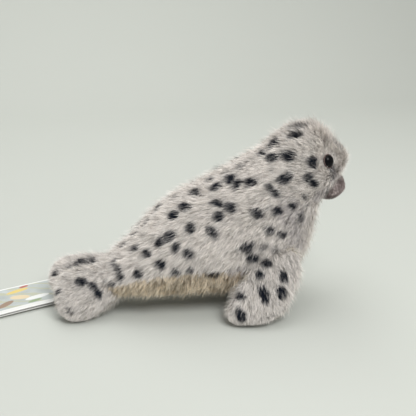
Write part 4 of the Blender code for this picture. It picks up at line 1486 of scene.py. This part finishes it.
@dataclass
class SwingTag:
    """The card tag: two leaves lying close together at the far edge, the upper one standing a little open."""

    card: float = 0.00045
    open_lift: float = 0.0022
    lower_lift: float = 0.0014
    curl: float = 0.0010
    corner: float = 0.003
    columns: int = 30
    rows: int = 22

    def axes(self) -> tuple[Vector, Vector, Vector, float, float]:
        """The card's near corner, its length and width directions, and its sizes, from the frame's card."""
        points = points_of("swing_tag")

        def spread(turn: float) -> tuple[Points, Points, Points, Points]:
            """The two level directions at a turn, and the card's points measured along them."""
            long = np.array((math.cos(turn), math.sin(turn), 0.0))
            wide = np.cross((0, 0, 1.0), long)
            return long, wide, points @ long, points @ wide

        turns = np.radians(np.arange(-45, 45, 0.25))
        best = min(turns, key=lambda turn: np.ptp(spread(turn)[2]) * np.ptp(spread(turn)[3]))
        long, wide, u, v = spread(best)
        corner = long * u.min() + wide * v.min()
        corner[2] = FLOOR
        return Vector(corner), Vector(long), Vector(wide), float(np.ptp(u)), float(np.ptp(v))

    def leaf(self, name: str, upper: bool, spread: tuple) -> bpy.types.Mesh:
        """One leaf as a thin closed sheet, with rounded corners at its open edge.

        Args:
            name: The mesh's name.
            upper: Whether it is the leaf that stands open.
            spread: What axes gives.

        Returns:
            The leaf's mesh, with its print layout.
        """
        corner, long, wide, length, width = spread
        most_lift, curl, base = (
            (self.open_lift, self.curl, self.card * 2.2 + 0.0002) if upper
            else (self.lower_lift, self.curl * 0.5, self.card * 0.7)
        )
        grid = []
        for row in range(self.rows + 1):
            v = row / self.rows
            for column in range(self.columns + 1):
                u = column / self.columns
                inset = 0.0
                near = v * width
                if near < self.corner:
                    inset = self.corner - math.sqrt(self.corner**2 - (self.corner - near) ** 2)
                x = inset + u * (length - 2 * inset)
                lift = most_lift * (1 - v) ** 1.6
                lift += curl * (1 - v) ** 2 * (0.4 + 0.6 * math.sin(math.pi * u))
                grid.append((corner + long * x + wide * (v * width), base + lift, (u, v)))
        points = [place + Vector((0, 0, height)) for place, height, _ in grid]
        across = self.columns + 1
        faces = []
        for row in range(self.rows):
            for column in range(self.columns):
                a = row * across + column
                faces.append((a, a + 1, a + across + 1, a + across))
        mesh = bpy.data.meshes.new(name)
        mesh.from_pydata(points, [], faces)
        layout = mesh.uv_layers.new(name="print")
        for loop in mesh.loops:
            layout.data[loop.index].uv = grid[loop.vertex_index][2]
        holder = in_scene(name, mesh)
        card = holder.modifiers.new("card", "SOLIDIFY")
        card.thickness = self.card
        card.offset = 0.0
        return applied(holder, name)

    def build(self, top: bpy.types.Material, inside: bpy.types.Material) -> None:
        """Makes both leaves. The upper one is printed above, and the lower one's inner face shows between."""
        spread = self.axes()
        upper = link("swing_tag_upper_leaf", self.leaf("upper_leaf", True, spread), top)
        lower = link("swing_tag_lower_leaf", self.leaf("lower_leaf", False, spread), inside)
        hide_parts("swing_tag")
        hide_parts("swing_tag")


@dataclass
class Studio:
    """A pale floor that sweeps up into a backdrop, and soft light from above."""

    reach: float = 5.0
    behind: float = 0.80
    sweep: float = 0.50
    height: float = 3.0
    colour: Colour = (0.520, 0.538, 0.500)
    ambient: float = 0.52

    def floor(self) -> None:
        """Makes the floor and backdrop as one swept sheet."""
        steps = 14
        line = [(-self.reach, 0.0), (self.behind, 0.0)]
        for step in range(1, steps + 1):
            turn = math.pi / 2 * step / steps
            line.append((self.behind + self.sweep * math.sin(turn), self.sweep * (1 - math.cos(turn))))
        line.append((self.behind + self.sweep, self.height))
        points = [(x, y, z - 0.0001) for y, z in line for x in (-self.reach, self.reach)]
        faces = [(2 * k, 2 * k + 1, 2 * k + 3, 2 * k + 2) for k in range(len(line) - 1)]
        mesh = bpy.data.meshes.new("backdrop")
        mesh.from_pydata(points, [], faces)
        mesh.shade_smooth()
        made = in_scene("backdrop", mesh)
        paper, nodes, shader = new_material("backdrop_paper")
        paler = tuple(channel * 1.02 for channel in self.colour)
        nodes.feed(shader.inputs["Base Color"], nodes.mix(nodes.noise(3.0, 2.0), self.colour, paler))
        set_inputs(shader, Roughness=0.95, Specular_IOR_Level=0.1)
        mesh.materials.append(paper)
        made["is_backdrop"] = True

    def lamp(self, name: str, place: tuple[float, float, float], size: float, power: float) -> None:
        """Makes a square soft light that looks at the toy."""
        data = bpy.data.lights.new(name, "AREA")
        data.size = size
        data.energy = power
        made = in_scene(name, data)
        made.location = place
        made.rotation_mode = "QUATERNION"
        made.rotation_quaternion = (Vector((0.0, 0.0, 0.06)) - Vector(place)).to_track_quat("-Z", "Y")

    def light(self) -> None:
        """Sets the even sky light and the three lamps."""
        world = bpy.data.worlds.new("studio")
        world.use_nodes = True
        set_inputs(world.node_tree.nodes["Background"], Color=(1.0, 0.995, 0.985, 1.0), Strength=self.ambient)
        bpy.context.scene.world = world
        self.lamp("key_light", (0.40, -0.90, 1.25), 0.7, 15.0)
        self.lamp("top_light", (-0.1, 0.2, 1.5), 1.0, 7.5)
        self.lamp("fill_light", (-0.2, 1.0, 1.1), 1.0, 6.0)


@dataclass
class Seal:
    """The whole toy, built in order."""

    view: PhotoView
    groups: Groups

    def mark(self) -> tuple[Markings, Markings]:
        """Places the spots, and the zones of speckle and painted shade, on the frame's surfaces."""
        shown = ("coat_left", "coat_right", "front_flipper_right_top", "front_flipper_left_top",
                 "rear_flipper_right_top", "rear_flipper_left_top", "chest_panel", "belly_panel")
        spots = Markings(self.view, shown)
        for seed, (group_of_spots, mirrored) in enumerate((
            (HEAD_SPOTS, True), (BACK_SPOTS, True), (FRONT_FLIPPER_SPOTS, True),
            (REAR_FLIPPER_SPOTS, False), (FACE_SMUDGES, True),
        )):
            spots.add(group_of_spots, mirrored, SEED + seed)
        zones = Markings(self.view, shown)
        zones.add(SPECKLE_AND_SHADE_ZONES, True, SEED)
        return spots, zones

    def build(self) -> None:
        """Makes every piece."""
        sewn = panels()
        backings = [panel.prepare() for panel in sewn]
        beads = [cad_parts[name].data for name in ("eye_left", "eye_right", "nose")]
        cover = tree_of([backing.mesh for backing in backings] + beads)
        spots, zones = self.mark()
        maker = PileMaker(Comb(), spots, zones, cover)
        fabrics = {}
        for panel in sewn:
            if panel.finish not in fabrics:
                fabrics[panel.finish] = panel.finish.material(self.groups)
            panel.build(maker, fabrics[panel.finish])
        self.trim()

    def trim(self) -> None:
        """Makes the eyes, nose, filling and tag, and dresses the washers and the loop as they are."""
        bead, felt = EYE_FINISH.material(self.groups), EYELID_FINISH.material(self.groups)
        for side in ("left", "right"):
            Eye(side).build(bead, felt)
        Nose().build(NOSE_FINISH.material(self.groups))
        Wadding().build(WADDING_FINISH.material(self.groups))
        patch = patch_group()
        SwingTag().build(*(printed.material(self.groups, patch) for printed in (TOP_PRINT, INNER_PRINT)))
        washer, nylon = WASHER_FINISH.material(self.groups), NYLON_FINISH.material(self.groups)
        dressed = (("eye_washer_left", washer), ("eye_washer_right", washer), ("tag_loop", nylon))
        for node, material in dressed:
            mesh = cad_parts[node].data
            mesh.materials.clear()
            mesh.materials.append(material)
            mesh.shade_smooth()


def write_sizes() -> None:
    """Writes the frame's box and the dressed toy's box."""
    boxes = [[list(corner) for corner in box] for box in (CAD_BOX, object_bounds())]
    corners = [[round(v * 1000, 1) for v in corner] for box in boxes for corner in box]
    LOG.info("boxes in millimetres: %s", corners)


def main() -> None:
    """Builds the studio, the camera and the toy."""
    logging.basicConfig(level=logging.INFO, format="%(name)s: %(message)s")
    scene = bpy.context.scene
    scene.view_settings.view_transform = "Standard"
    view = PhotoView()
    view.build()
    studio = Studio()
    studio.floor()
    studio.light()
    Seal(view, Groups()).build()
    write_sizes()


if __name__ == "__main__":
    main()
